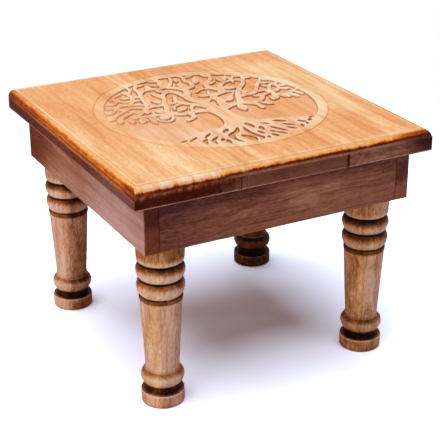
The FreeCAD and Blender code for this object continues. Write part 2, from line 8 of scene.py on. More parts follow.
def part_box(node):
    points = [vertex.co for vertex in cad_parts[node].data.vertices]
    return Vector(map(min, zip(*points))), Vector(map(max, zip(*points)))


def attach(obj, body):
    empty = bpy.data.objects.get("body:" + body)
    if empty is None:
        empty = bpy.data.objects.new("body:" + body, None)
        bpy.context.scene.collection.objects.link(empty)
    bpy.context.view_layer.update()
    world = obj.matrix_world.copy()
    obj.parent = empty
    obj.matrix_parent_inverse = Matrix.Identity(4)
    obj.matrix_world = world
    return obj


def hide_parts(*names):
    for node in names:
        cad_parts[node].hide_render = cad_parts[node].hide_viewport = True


# Low square table with a carved top on four turned legs.
# Every length is in millimetres until mesh_object writes it in metres.
# +Z is up, +X is to the right and the front faces -Y.

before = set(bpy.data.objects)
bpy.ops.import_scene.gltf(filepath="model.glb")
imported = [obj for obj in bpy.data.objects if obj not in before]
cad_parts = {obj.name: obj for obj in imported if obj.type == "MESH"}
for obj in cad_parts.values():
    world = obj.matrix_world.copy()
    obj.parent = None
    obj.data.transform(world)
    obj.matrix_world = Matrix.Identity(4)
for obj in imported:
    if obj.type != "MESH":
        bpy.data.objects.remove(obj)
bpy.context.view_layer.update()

MM = 0.001


def node_box(name):
    """Lowest and highest corner of a node of the frame."""
    return [np.array(corner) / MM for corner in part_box(name)]


# Places from the frame
BOARD_BOXES = {side: node_box("top_board_" + side) for side in ("left", "middle", "right")}
HALF_SIDE = BOARD_BOXES["right"][1][0]
TOP = BOARD_BOXES["right"][1][2]
TOP_UNDERSIDE = BOARD_BOXES["right"][0][2]
LEFT_JOINT = BOARD_BOXES["left"][1][0]
RIGHT_JOINT = BOARD_BOXES["right"][0][0]
CORNERS = ("front_left", "front_right", "back_left", "back_right")
LEG_BOXES = {corner: node_box("leg_" + corner) for corner in CORNERS}
LEG_TOP = LEG_BOXES["front_left"][1][2]

# Edge moulding of the top. The left one is narrower than the others by the squeeze.
STEP_WIDTH = 1.2
STEP_DROP = 0.7
ROUND_RADIUS = 6.2
LEDGE_WIDTH = 0.6
LOWER_CHAMFER = 0.8
PLAN_CORNER_RADIUS = 2.5
LEFT_SQUEEZE = 0.72

# Carved medallion
MEDALLION_X = 2.5
MEDALLION_Y = 4.8
GROUND_RADIUS = 102.0
GROUND_DEPTH = 1.8
RING_RADIUS = 112.0
RING_WIDTH = 1.8
RING_DEPTH = 1.0
WALL_WIDTH = 0.7
CROWN_REACH = 1.3
CROWN_DROP = 0.30
SLIT_EASE = 0.3
FIELD_REACH = 3.0

# Spacing of the mesh of the top in the medallion and outside it
FINE_STEP = 0.6
COARSE_STEP = 1.7

# Spacing of the mesh of the aprons, and how far their edges are softened
APRON_STEP = 3.0
APRON_EASE = 0.7

# Tree of life, in hundredths of the ground's radius
HUNDREDTH = 0.01
TRUNK_LEFT = (
    (-80, -74), (-70, -70), (-61, -67), (-52, -62), (-42, -58.5), (-32, -57), (-22, -56), (-14, -51),
    (-9, -42), (-6.5, -31), (-6.5, -20), (-8.5, -11), (-6, -2),
)
TRUNK_CROTCH = (7.5, -3)
TRUNK_RIGHT = (
    (17, 2), (12, -6), (10, -16), (9.5, -28), (12, -39), (17, -47), (24, -52.5), (33, -55), (43, -57),
    (53, -61), (63, -64.5), (72, -67), (84, -70),
)
ROOTS_FLOOR = -115

# Each limb: its width where it starts, then the points of its centre line
LIMBS = (
    (7.8, (-2, -10), (-10, -7), (-17, -5), (-24, -6), (-32, -6), (-38, -2), (-42, 4), (-41, 10), (-38, 16),
     (-36, 22), (-34, 29), (-31, 36)),
    (6, (-24, -6), (-25.5, -11), (-26.5, -17), (-30, -21), (-35, -24)),
    (6.8, (0, -3), (-4, 5), (-10, 13), (-16, 19), (-20, 25), (-21, 32), (-18, 39), (-16, 45)),
    (4.5, (-18, 21), (-24, 20), (-30, 16), (-33, 9)),
    (4.5, (-11, 13), (-16, 8), (-19, 2), (-20, -5)),
    (8.5, (3, -2), (1, 10), (-3, 19), (-6.5, 26), (-7, 34), (-4, 42), (0, 49), (1, 56), (-1, 62), (-5, 67),
     (-10, 71), (-13, 77), (-12.5, 84), (-10, 91), (-11, 102)),
    (6.5, (-6.5, 33), (-8, 42), (-9, 50), (-12, 56), (-17, 58), (-23, 54), (-27, 47), (-29, 40), (-33, 32)),
    (6, (1, 54), (5, 60), (10, 61), (14, 66), (16, 73), (14, 80), (15, 87), (17, 92), (14, 103)),
    (4.5, (-9, 72), (-4, 79), (1, 87), (4, 95), (6, 103)),
    (5.8, (-12, 74), (-20, 71), (-28, 73.5), (-36, 72), (-42, 66), (-45, 58), (-47, 50), (-49, 42),
     (-50, 34), (-54, 27)),
    (5, (-42, 66), (-41, 73), (-41, 80), (-38, 87), (-35, 92), (-34, 100)),
    (5, (-46, 57), (-52, 60), (-54, 66), (-51, 73), (-47, 80), (-46, 90)),
    (5, (-53, 60), (-57, 52), (-60, 45), (-66, 41)),
    (5.5, (-41, 0), (-48, 1), (-55, 2), (-62, 1), (-68, 4), (-74, 4), (-81, 1)),
    (5.5, (-35, 25), (-42, 26), (-50, 26), (-57, 22), (-62, 17), (-66, 12), (-71, 8)),
    (3.6, (-43, -2), (-44, -10), (-48, -16), (-53, -18), (-58, -14), (-60, -7), (-60, 0)),
    (4.5, (-50, 34), (-58, 37), (-66, 40), (-74, 40), (-81, 35), (-88, 27)),
    (4.5, (-55, 25), (-62, 30), (-69, 31), (-77, 26), (-85, 20), (-93, 13)),
    (4, (-66, 12), (-70, 19), (-76, 17), (-84, 11), (-93, 4)),
    (7.8, (9, -10), (17, -5.5), (25, -3.5), (32, -3.5), (38, -7), (42, -13), (43, -19)),
    (6, (38, -8), (45, -7), (51, -4), (56, 1), (60, 7), (67, 10), (73, 15), (76, 22), (80, 29), (87, 34)),
    (8.8, (13, -5), (14, 4), (16.5, 12), (15.5, 20), (17, 27), (23, 31), (30, 33.5), (33, 39), (34, 45),
     (37, 51), (41, 56), (46, 60)),
    (6.2, (33, 40), (29, 46), (25.5, 52), (26, 59), (29, 65), (34, 70), (39, 75), (42, 81), (44, 88),
     (47, 96)),
    (5, (2, 8), (5, 16), (10, 20), (16, 24)),
    (4.5, (31, 34), (37, 32), (43, 30), (48, 32)),
    (4.5, (16, 9), (22, 10), (28, 14), (33, 20), (38, 26)),
    (4.2, (16, 28), (16.5, 35), (20, 43)),
    (4.5, (31, 37), (27.5, 46), (21.5, 50.5), (14.5, 50), (8, 45)),
    (6.5, (30, -3), (33, 4), (36, 12), (40, 20), (46, 30), (53, 39), (60, 47), (65, 55), (69, 63),
     (73, 72)),
    (5.8, (38, 15), (46, 15.5), (53, 16), (59, 20), (64, 27), (69, 35), (75, 42), (81, 50), (88, 60)),
    (5, (66, -5), (71, 4), (74, 11), (81, 15), (86, 21), (87, 30), (93, 36)),
    (4.5, (72, 3), (80, -1), (87, 1), (93, 5), (102, 10)),
    (4, (65, 56), (61, 61), (56, 60), (54, 55)),
    (4.2, (46, 60), (53, 62), (58, 66), (62, 72), (68, 80)),
    (4.6, (-52, 49), (-60, 49), (-66, 51), (-71, 56), (-72, 63), (-68, 69), (-61, 72)),
)
LIMB_TIP = 0.55

# Each leaf: its foot, its tip and its width
LEAVES = (
    ((-45, 0), (-56, -12), 9.5), ((-64, -1), (-64.5, -19), 5.5), ((-69, 2), (-75.5, -12), 8),
    ((-80, 4), (-83, -8), 6), ((-88, 7), (-94.5, -3), 6), ((-20, 10), (-33, 2), 5.5),
    ((-20, 28), (-30, 24), 4.5), ((-28, 43), (-32, 63), 6), ((-17, 58), (-25, 68), 6),
    ((-31, 72), (-25, 85), 6), ((-13, 79), (-23, 86), 6), ((-40, 87), (-27, 90), 4.5),
    ((-11, 93), (-20, 97), 4), ((3, 63), (3, 78), 5), ((5, 82), (9, 94), 4.5), ((-36, 30), (-42, 42), 5),
    ((-57, 58), (-65.5, 64.5), 7.5), ((-53, 69), (-56, 80), 5.5), ((-72, 53), (-86, 49), 8),
    ((-69, 66), (-77, 60), 4.5), ((-78, 38), (-90.5, 41), 7), ((-66, 41), (-60, 46), 4),
    ((-86, 30), (-95.5, 25), 6), ((-74, 27), (-80, 35), 5), ((-92, 12), (-98.5, 8), 4.5),
    ((-56, 21), (-60.5, 10), 6.5), ((-43, 6), (-52, 12.5), 5.5), ((-68, 16), (-74, 25), 4.5),
    ((27, -5), (24, -24), 9), ((43, -15), (42, -27), 6), ((46, -9), (57, -20), 5.5),
    ((72, 3), (62, -10), 8.5), ((76, 2), (81.5, -10), 8), ((85, 0), (89.5, -13), 6),
    ((93, 4), (97, -9), 5.5), ((32, 19), (24, 7), 6), ((37, 47), (48, 39), 9.5),
    ((46, 63), (52, 79), 10.5), ((20, 69), (27, 86), 7), ((41, 83), (37, 94), 5.5),
    ((28, 61), (41, 68), 5), ((16, 31), (4, 34), 7), ((18, 91), (29, 95), 4.5), ((57, 65), (56, 79), 5),
    ((62, 72), (73, 71), 4.5), ((69, 62), (80, 65), 5), ((75, 42), (84, 38), 4.5), ((82, 51), (92, 46), 5),
    ((88, 27), (97, 24), 5.5), ((84, 18), (94, 13), 6), ((75, 13), (68, 20), 5),
    ((79, 28), (73.5, 35), 4.5), ((45, 16), (50, 27), 5), ((59, 20), (70, 19), 4.5),
    ((48, 32), (52, 20), 4), ((61, 6), (50, 10), 5),
)

# Slits between the roots: the width in the middle, then the points along it away from the trunk
ROOT_SLITS = (
    (3, (-34, -63), (-45, -74)), (3.8, (-43, -75), (-48, -80), (-49, -88)),
    (3.6, (-32, -74), (-40, -81), (-41.5, -92)), (2.8, (-30, -80), (-34.5, -87)),
    (4.2, (-28, -84), (-31, -96)), (4.4, (-15, -60), (-24, -70)),
    (5.8, (-5, -60), (-11, -70), (-20, -77), (-22, -87), (-18, -98)),
    (8.8, (-12, -80), (-8, -90), (-8, -100)),
    (5.6, (0, -62), (-2.5, -74), (-1.5, -85), (1.5, -94), (-3, -100)), (6, (6, -54), (7.5, -69)),
    (4.6, (14, -68), (11, -79)), (4, (6, -77), (7.5, -88)), (2.8, (8.5, -93), (6, -99)),
    (3.4, (18, -60), (25, -68)), (5.2, (31, -61), (42, -68)), (5, (21.5, -71), (25, -82), (31, -91)),
    (4.2, (34, -72), (44, -81)), (4.4, (34, -80), (40, -90)), (3.4, (16.5, -82), (18.5, -88)),
    (4.6, (13.5, -90), (15.5, -100)), (4.4, (20, -87), (26, -97)), (4.4, (51, -71), (57, -78)),
    (3.4, (65, -72), (60, -77)), (3.4, (50, -81), (47, -88)), (2.6, (57, -79), (54, -84)),
    (3.4, (64, -70), (72, -67)), (3, (-49, -66.5), (-61, -76)), (2.6, (-59, -70), (-72, -74)),
)
SLIT_FULLNESS = 0.7

# Turned legs, from the floor up
FOOT_RADIUS = 20.0
FOOT_HEIGHT = 12.5
NECK_RADIUS = 16.0
NECK_HEIGHT = 7.0
ANKLE_RADIUS = 20.0
ANKLE_HEIGHT = 13.6
ANKLE_FOOT_RADIUS = 16.5
ANKLE_HEAD_RADIUS = 16.2
CONE_RING_RADIUS = 16.4
CONE_RING_HEIGHT = 1.6
CONE_FOOT_RADIUS = 15.4
CONE_HEAD_RADIUS = 19.6
COLLAR_RADIUS = 20.0
COLLAR_HEIGHT = 3.2
LOWER_GROOVE_RADIUS = 18.8
LOWER_GROOVE_HEIGHT = 1.0
LOWER_BEAD_RADIUS = 22.0
LOWER_BEAD_HEIGHT = 14.5
BEAD_GROOVE_RADIUS = 19.4
BEAD_GROOVE_HEIGHT = 1.6
UPPER_BEAD_RADIUS = 22.3
UPPER_BEAD_HEIGHT = 13.8
HEAD_GROOVE_RADIUS = 19.4
HEAD_GROOVE_HEIGHT = 1.8
HEAD_FOOT_RADIUS = 21.5
HEAD_TOP_RADIUS = 22.3
HEAD_HEIGHT = 19.5
HEAD_ROUNDING = 2.0
BEAD_PEAK = 0.56
LEG_SEGMENTS = 128

# Direction that the fronts of the legs face, towards the photo's camera
LEG_FRONT = math.radians(-118.3)

# Levels between the turned stages, from the floor up and from the head down
NECK_TOP = FOOT_HEIGHT + NECK_HEIGHT
ANKLE_TOP = NECK_TOP + ANKLE_HEIGHT
RING_TOP = ANKLE_TOP + CONE_RING_HEIGHT
HEAD_FOOT = LEG_TOP - HEAD_HEIGHT
UPPER_TOP = HEAD_FOOT - HEAD_GROOVE_HEIGHT
UPPER_FOOT = UPPER_TOP - UPPER_BEAD_HEIGHT
LOWER_TOP = UPPER_FOOT - BEAD_GROOVE_HEIGHT
LOWER_FOOT = LOWER_TOP - LOWER_BEAD_HEIGHT
COLLAR_TOP = LOWER_FOOT - LOWER_GROOVE_HEIGHT
COLLAR_FOOT = COLLAR_TOP - COLLAR_HEIGHT

# The turned stages: straight runs as their radius and level, and beads as their widest radius and the
# radius and level of their head
LEG_STAGES = (
    (FOOT_RADIUS - 1.0, 0.0), (FOOT_RADIUS, 1.0), (FOOT_RADIUS, FOOT_HEIGHT), (NECK_RADIUS, FOOT_HEIGHT),
    (NECK_RADIUS, NECK_TOP), (ANKLE_FOOT_RADIUS, NECK_TOP), (ANKLE_RADIUS, ANKLE_HEAD_RADIUS, ANKLE_TOP),
    (CONE_RING_RADIUS, ANKLE_TOP), (CONE_RING_RADIUS, RING_TOP), (CONE_FOOT_RADIUS, RING_TOP),
    (CONE_HEAD_RADIUS, COLLAR_FOOT), (COLLAR_RADIUS, COLLAR_FOOT), (COLLAR_RADIUS, COLLAR_TOP),
    (LOWER_GROOVE_RADIUS, COLLAR_TOP), (LOWER_GROOVE_RADIUS, LOWER_FOOT),
    (LOWER_BEAD_RADIUS, BEAD_GROOVE_RADIUS, LOWER_TOP), (BEAD_GROOVE_RADIUS, UPPER_FOOT),
    (UPPER_BEAD_RADIUS, HEAD_GROOVE_RADIUS, UPPER_TOP), (HEAD_GROOVE_RADIUS, HEAD_FOOT),
    (HEAD_FOOT_RADIUS - HEAD_ROUNDING, HEAD_FOOT), (HEAD_FOOT_RADIUS, HEAD_FOOT + HEAD_ROUNDING),
    (HEAD_TOP_RADIUS, LEG_TOP),
)


# Small tools


def rise(value, low, high):
    """0 below low, 1 above high and an even slope between them."""
    t = np.clip((value - low) / (high - low), 0, 1)
    return t * t * (3 - 2 * t)


def fade(value, low, high):
    """1 below low, 0 above high and an even slope between them."""
    return 1 - rise(value, low, high)


def bell(value, middle, reach):
    """1 at the middle, falling off on both sides over its reach."""
    return np.exp(-(((value - middle) / reach) ** 2))


def ripple(x, y, size, seed):
    """Smooth noise from -1 to 1 over the plane, with features about size across."""
    table = np.random.default_rng(seed).random((64, 64)) * 2 - 1
    u, v = np.asarray(x) / size, np.asarray(y) / size
    i, j = np.floor(u).astype(int), np.floor(v).astype(int)
    s, t = u - i, v - j
    s, t = s * s * (3 - 2 * s), t * t * (3 - 2 * t)
    i, j = i % 64, j % 64
    k, m = (i + 1) % 64, (j + 1) % 64
    low = table[i, j] * (1 - s) + table[k, j] * s
    high = table[i, m] * (1 - s) + table[k, m] * s
    return low * (1 - t) + high * t


def linear(colour):
    """A colour from 0 to 255 per channel as the shader's linear values."""
    shares = [c / 255 for c in colour]
    return [s / 12.92 if s <= 0.04045 else ((s + 0.055) / 1.055) ** 2.4 for s in shares] + [1.0]


def mesh_object(name, points, faces, material, replaced, fields, crease=40):
    """A piece of the table from points in millimetres, in the place of the replaced nodes. fields are
    values per point for its material."""
    mesh = bpy.data.meshes.new(name)
    mesh.from_pydata((np.asarray(points) * MM).tolist(), [], faces)
    for field, values in fields.items():
        attribute = mesh.attributes.new(field, "FLOAT", "POINT")
        attribute.data.foreach_set("value", np.asarray(values, np.float32))
    mesh.shade_smooth()
    mesh.set_sharp_from_angle(angle=math.radians(crease))
    mesh.materials.append(material)
    piece = bpy.data.objects.new(name, mesh)
    bpy.context.scene.collection.objects.link(piece)
    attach(piece, "root")
    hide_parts(*replaced)


def refinish(node, material):
    """Gives a node of the frame another material."""
    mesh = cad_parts[node].data
    mesh.materials.clear()
    mesh.materials.append(material)


def grid_faces(rows, columns, wrap=False):
    """Quads over points in rows, closed round the columns if wrap is set."""
    span = columns if wrap else columns - 1
    i, j = np.meshgrid(np.arange(rows - 1), np.arange(span), indexing="ij")
    a = i * columns + j
    b = i * columns + (j + 1) % columns
    return np.stack([a, b, b + columns, a + columns], -1).reshape(-1, 4).tolist()


# Shader building


class Shader:
    """The nodes of a material or of the world, and short ways to add to them."""

    def __init__(self, owner):
        owner.use_nodes = True
        self.owner = owner
        self.tree = owner.node_tree
        self.tree.nodes.clear()

    def give(self, socket, value):
        """Sets an input to a value, or links another node's output to it."""
        if isinstance(value, bpy.types.NodeSocket):
            self.tree.links.new(value, socket)
        else:
            socket.default_value = value

    def node(self, kind, settings=None, *values, **inputs):
        """A node with its settings, and with its inputs by their order and by name."""
        made = self.tree.nodes.new("ShaderNode" + kind)
        for key, value in (settings or {}).items():
            setattr(made, key, value)
        for key, value in [*enumerate(values), *inputs.items()]:
            self.give(made.inputs[key], value)
        return made

    def math(self, operation, *values, clamp=False):
        return self.node("Math", {"operation": operation, "use_clamp": clamp}, *values).outputs[0]

    def swing(self, noise, amount, onto, clamp=False):
        """How far the noise is off its middle, times an amount and added onto a value."""
        return self.math("MULTIPLY_ADD", self.math("SUBTRACT", noise, 0.5), amount, onto, clamp=clamp)

    def vector(self, operation, *values):
        return self.node("VectorMath", {"operation": operation}, *values).outputs[0]

    def length(self, vector):
        return self.node("VectorMath", {"operation": "LENGTH"}, vector).outputs["Value"]

    def noise(self, place, rates, detail=3.0, roughness=0.55):
        """Noise from 0 to 1 about 0.5. rates are how many features a millimetre holds along each axis."""
        scaled = self.vector("MULTIPLY", place, rates)
        made = self.node("TexNoise", Scale=1.0, Detail=detail, Roughness=roughness, Vector=scaled)
        return made.outputs["Fac"]

    def spread(self, value, low, high, start=0.0, end=1.0):
        """value between low and high, smoothly as start to end."""
        settings = {"interpolation_type": "SMOOTHSTEP", "clamp": True}
        return self.node("MapRange", settings, value, low, high, start, end).outputs["Result"]

    def ramp(self, value, stops):
        """Colour by value through stops of (place, colour from 0 to 255)."""
        made = self.node("ValToRGB", Fac=value)
        elements = made.color_ramp.elements
        while len(elements) < len(stops):
            elements.new(0.5)
        for element, (place, colour) in zip(elements, stops):
            element.position = place
            element.color = linear(colour)
        return made.outputs["Color"]

    def mix(self, share, a, b, blend="MIX"):
        made = self.node("Mix", {"data_type": "RGBA", "blend_type": blend, "clamp_factor": True})
        for number, value in ((0, share), (6, a), (7, b)):
            self.give(made.inputs[number], value)
        return made.outputs[2]

    def tinted(self, share, colour, tint):
        """A colour multiplied by a tint as far as share says."""
        return self.mix(share, colour, tint, "MULTIPLY")

    def field(self, name):
        """A value that the mesh carries per point."""
        return self.node("Attribute", {"attribute_name": name}).outputs["Fac"]

    def place(self):
        """The place on the object, in millimetres."""
        return self.vector("MULTIPLY", self.node("TexCoord").outputs["Object"], (1 / MM,) * 3)

    def finish(self, colour, roughness, height, bump, depth, **settings):
        """Gives the material its surface. height is its relief, bump how strong and depth how deep it is."""
        normal = self.node("Bump", Strength=bump, Distance=depth * MM, Height=height).outputs["Normal"]
        surface = {"Base Color": colour, "Roughness": roughness, "Normal": normal, **settings}
        self.node("OutputMaterial", Surface=self.node("BsdfPrincipled", **surface).outputs[0])
        return self.owner


# Tints that the wood is multiplied by where it has dirt and where shade is painted, where it is cool, porous
# or in a seam, and in a leg's halves
DIRT_AND_SHADE_TINT = (0.18, 0.12, 0.10, 1)
COOL = (1.0, 0.94, 1.24, 1)
PORE = (0.42, 0.34, 0.28, 1)
SEAM = (0.4, 0.3, 0.22, 1)
LEFT_HALF = (1.02, 0.94, 0.80, 1)
RIGHT_HALF = (0.93, 0.92, 0.98, 1)

# Grain directions as the wood's own axes: across, along and across again
ALONG = {"x": (1, 0, 2), "y": (0, 1, 2), "z": (0, 2, 1)}

# How far along its own axes each further seed moves the wood
SEED_STEP = (31.7, 57.3, 11.9)


def wood(name, stops, along, seed, pith, ring_spacing=5.0, worn=(240, 205, 170), worn_dark=(206, 156, 132),
         contrast=1.0, patches=0.12, blot=1.0, ragged=0.18, streaky=0.2, dark_grain=(190, 176, 162),
         fine=1.0, flecks=0.35, halves=False, shine=0.10, roughness=0.46, bump=0.5):
    """Stained wood. stops are its colours from bare to fully stained, along its grain axis and pith the
    place of the heart of its tree across the grain. worn and worn_dark are its pale colours where it is worn
    and where a highlight is painted, where it is bare and where it is stained, fine how many times finer its
    streaks are than the top's, and blot the size of its blots as a share of the top's. The mesh's fields
    stain_and_shade (stain with painted shade), wear_and_highlight (wear with painted highlights),
    dirt_and_shade (dirt with painted shade), cool and seam say where it is what."""
    s = Shader(bpy.data.materials.new(name))
    mm = s.place()
    stain_and_shade, wear_and_highlight = s.field("stain_and_shade"), s.field("wear_and_highlight")

    if halves:
        side = s.spread(s.field("seam"), -0.12, 0.12)
        jump = s.node("CombineXYZ", X=s.math("MULTIPLY", side, 37.0), Y=s.math("MULTIPLY", side, 53.0))
        mm = s.vector("ADD", mm, jump.outputs[0])

    # The wood's own axes, with the grain along the second
    parts = s.node("SeparateXYZ", Vector=mm).outputs
    across, length, depth = [parts[axis] for axis in ALONG[along]]
    own = s.node("CombineXYZ", X=across, Y=length, Z=depth).outputs[0]
    moved = [seed * step for step in SEED_STEP]
    own = s.vector("ADD", own, moved)
    slow = s.vector("MULTIPLY", own, (1 / 60, 1 / 130, 1 / 60))
    drift = s.node("TexNoise", Scale=1.0, Detail=2.0, Vector=slow).outputs["Color"]
    drift = s.vector("MULTIPLY", s.vector("SUBTRACT", drift, (0.5, 0.5, 0.5)), (14.0, 0.0, 14.0))
    bent = s.vector("ADD", own, drift)

    streaks = s.noise(bent, (fine / 7, fine / 120, fine / 7), 5.0, 0.62)
    bands = s.noise(bent, (1 / 22, 1 / 160, 1 / 22), 3.0, 0.5)
    fibres = s.noise(bent, (2.2, 1 / 14, 2.2), 3.0, 0.6)
    pores = s.noise(bent, (1.5, 1 / 5, 1.5), 2.0, 0.5)
    blots = s.noise(own, (1 / 30 / blot, 1 / 55 / blot, 1 / 30 / blot))
    specks = s.noise(own, (1 / 2.2, 1 / 6, 1 / 2.2), 4.0, 0.65)

    # Growth rings about the heart of the tree
    ring_place = s.vector("SUBTRACT", bent, (pith[0] + moved[0], 0.0, pith[1] + moved[2]))
    turns = s.math("DIVIDE", s.length(s.vector("MULTIPLY", ring_place, (1.0, 0.0, 1.0))), ring_spacing)
    rings = s.node("TexNoise", {"noise_dimensions": "1D"}, W=turns, Scale=1.0, Detail=2.0, Roughness=0.6)

    # How light the grain is, about 0.5
    grain = s.swing(streaks, 1.1 * contrast, 0.5)
    grain = s.swing(bands, 1.0 * contrast, grain)
    grain = s.swing(rings.outputs["Fac"], 0.9 * contrast, grain)
    grain = s.swing(fibres, 0.45 * contrast, grain, clamp=True)
    middle_grain = [255 - (255 - c) * 0.3 for c in dark_grain]
    shade = s.ramp(grain, ((0.0, dark_grain), (0.5, middle_grain), (1.0, (255, 255, 255))))

    # Where the stain is, rubbed in unevenly and along the streaks
    spots = s.swing(blots, patches * 2, stain_and_shade)
    spots = s.swing(streaks, -streaky, spots)
    edge = s.math("MULTIPLY", s.math("SUBTRACT", specks, 0.5), ragged * 2)
    half_stained = s.math("ABSOLUTE", s.math("SUBTRACT", stain_and_shade, 0.5))
    amount = s.math("MULTIPLY_ADD", edge, s.spread(half_stained, 0.28, 0.5, 1.0, 0.25), spots, clamp=True)
    colour = s.tinted(1.0, s.ramp(amount, stops), shade)
    holes = s.spread(pores, 0.66 - 0.2 * flecks, 0.76 - 0.15 * flecks)
    colour = s.tinted(s.math("MULTIPLY", holes, flecks), colour, PORE)
    if halves:
        colour = s.mix(side, s.tinted(1.0, colour, LEFT_HALF), s.tinted(1.0, colour, RIGHT_HALF))
        line = s.spread(s.math("ABSOLUTE", s.field("seam")), 0.0, 0.28, 0.55, 0.0)
        colour = s.tinted(line, colour, SEAM)
    # Worn places and painted highlights are mixed towards the pale rubbed colour
    rubbed = s.math("MULTIPLY", wear_and_highlight, s.spread(specks, 0.20, 0.52), clamp=True)
    bare = s.mix(s.spread(stain_and_shade, 0.45, 0.75), linear(worn), linear(worn_dark))
    colour = s.mix(rubbed, colour, s.tinted(1.0, bare, shade))
    colour = s.tinted(s.field("cool"), colour, COOL)
    # Dirt and painted shade darken the wood
    colour = s.tinted(s.field("dirt_and_shade"), colour, DIRT_AND_SHADE_TINT)

    # Gloss and relief
    gloss = s.swing(fibres, 0.3, s.swing(blots, 0.25, roughness))
    relief = s.math("MULTIPLY_ADD", fibres, 0.8, s.math("MULTIPLY", streaks, 0.6))
    relief = s.math("MULTIPLY_ADD", holes, -0.8, relief)
    return s.finish(colour, gloss, relief, bump, 0.15, **{"Specular IOR Level": shine})


def metal(name, colour, roughness):
    """Plain fastener metal with fine turning marks and a dull film in places."""
    s = Shader(bpy.data.materials.new(name))
    mm = s.place()
    film = s.noise(mm, (0.5, 0.5, 0.5), 4.0)
    marks = s.noise(mm, (1.5, 1.5, 9.0), 2.0)
    dull = [0.55 * c for c in linear(colour)[:3]] + [1.0]
    tint = s.mix(s.spread(film, 0.4, 0.65, 0.0, 0.6), linear(colour), dull)
    return s.finish(tint, s.swing(film, 0.4, roughness), marks, 0.3, 0.05, Metallic=1.0)


# Colours from bare to fully stained
TOP_STOPS = (
    (0.00, (255, 226, 180)), (0.10, (248, 192, 140)), (0.20, (240, 174, 118)), (0.28, (248, 190, 100)),
    (0.36, (234, 152, 64)), (0.44, (214, 118, 40)), (0.56, (176, 80, 24)), (0.70, (124, 46, 12)),
    (0.84, (92, 30, 8)), (1.00, (132, 84, 70)),
)
APRON_STOPS = (
    (0.00, (206, 156, 122)), (0.30, (172, 114, 92)), (0.60, (142, 88, 72)), (0.80, (108, 62, 52)),
    (1.00, (72, 40, 34)),
)
LEFT_APRON_STOPS = (
    (0.00, (220, 176, 160)), (0.30, (196, 136, 108)), (0.55, (164, 92, 60)), (0.80, (126, 50, 20)),
    (1.00, (84, 36, 24)),
)
LEG_STOPS = (
    (0.00, (255, 220, 192)), (0.20, (240, 190, 148)), (0.42, (190, 128, 72)), (0.65, (126, 72, 34)),
    (0.85, (60, 30, 18)), (1.00, (26, 12, 9)),
)

# What wood takes for each kind of piece
TOP_WOOD = dict(ring_spacing=4.0, worn=(255, 236, 204), contrast=0.9, dark_grain=(226, 190, 156),
                patches=0.10, ragged=0.22, streaky=0.30, shine=0.03)
LONG_APRON_WOOD = dict(worn=(206, 158, 140), contrast=1.1, dark_grain=(150, 118, 104), patches=0.16, blot=0.5,
                       ragged=0.3, streaky=0.45, fine=4.0, flecks=0.5, shine=0.03, bump=0.7)
SIDE_APRON_WOOD = dict(worn=(226, 190, 180), contrast=0.7, dark_grain=(176, 146, 130), patches=0.2,
                       streaky=0.15, fine=2.0, shine=0.015, bump=0.6)
LEG_WOOD = dict(ring_spacing=3.0, worn=(255, 226, 200), halves=True, contrast=0.8, dark_grain=(178, 150, 128),
                patches=0.22, blot=0.35, ragged=0.34, streaky=0.14, fine=1.8, flecks=0.55, shine=0.04,
                roughness=0.42)
BLOCK_WOOD = dict(contrast=0.8, roughness=0.6)

# Places of the top that took the stain more or less: centre, reach along X and Y, and amount
PATCHES = (
    (-108, 60, 45, 90, 0.06), (-88, -80, 30, 55, -0.045), (118, 10, 20, 90, -0.16), (144, -95, 16, 55, 0.20),
    (125, 128, 45, 28, 0.08), (0, 138, 60, 18, 0.05), (20, -125, 40, 16, 0.04), (-140, -30, 12, 90, -0.04),
    (85, -110, 20, 30, 0.05), (95, 85, 40, 40, -0.07), (-105, 0, 30, 80, 0.03),
)


# The carving


def smooth_path(points, per_span):
    """Points along a smooth curve through the given ones, per_span of them for each stretch."""
    p = np.array(points, float)
    p = np.vstack([2 * p[0] - p[1], p, 2 * p[-1] - p[-2]])
    found = []
    for a, b, c, d in zip(p[:-3], p[1:-2], p[2:-1], p[3:]):
        for t in np.arange(per_span) / per_span:
            found.append(0.5 * (2 * b + (c - a) * t + (2 * a - 5 * b + 4 * c - d) * t**2
                                + (3 * b - a - 3 * c + d) * t**3))
    return np.array(found + [p[-2]])


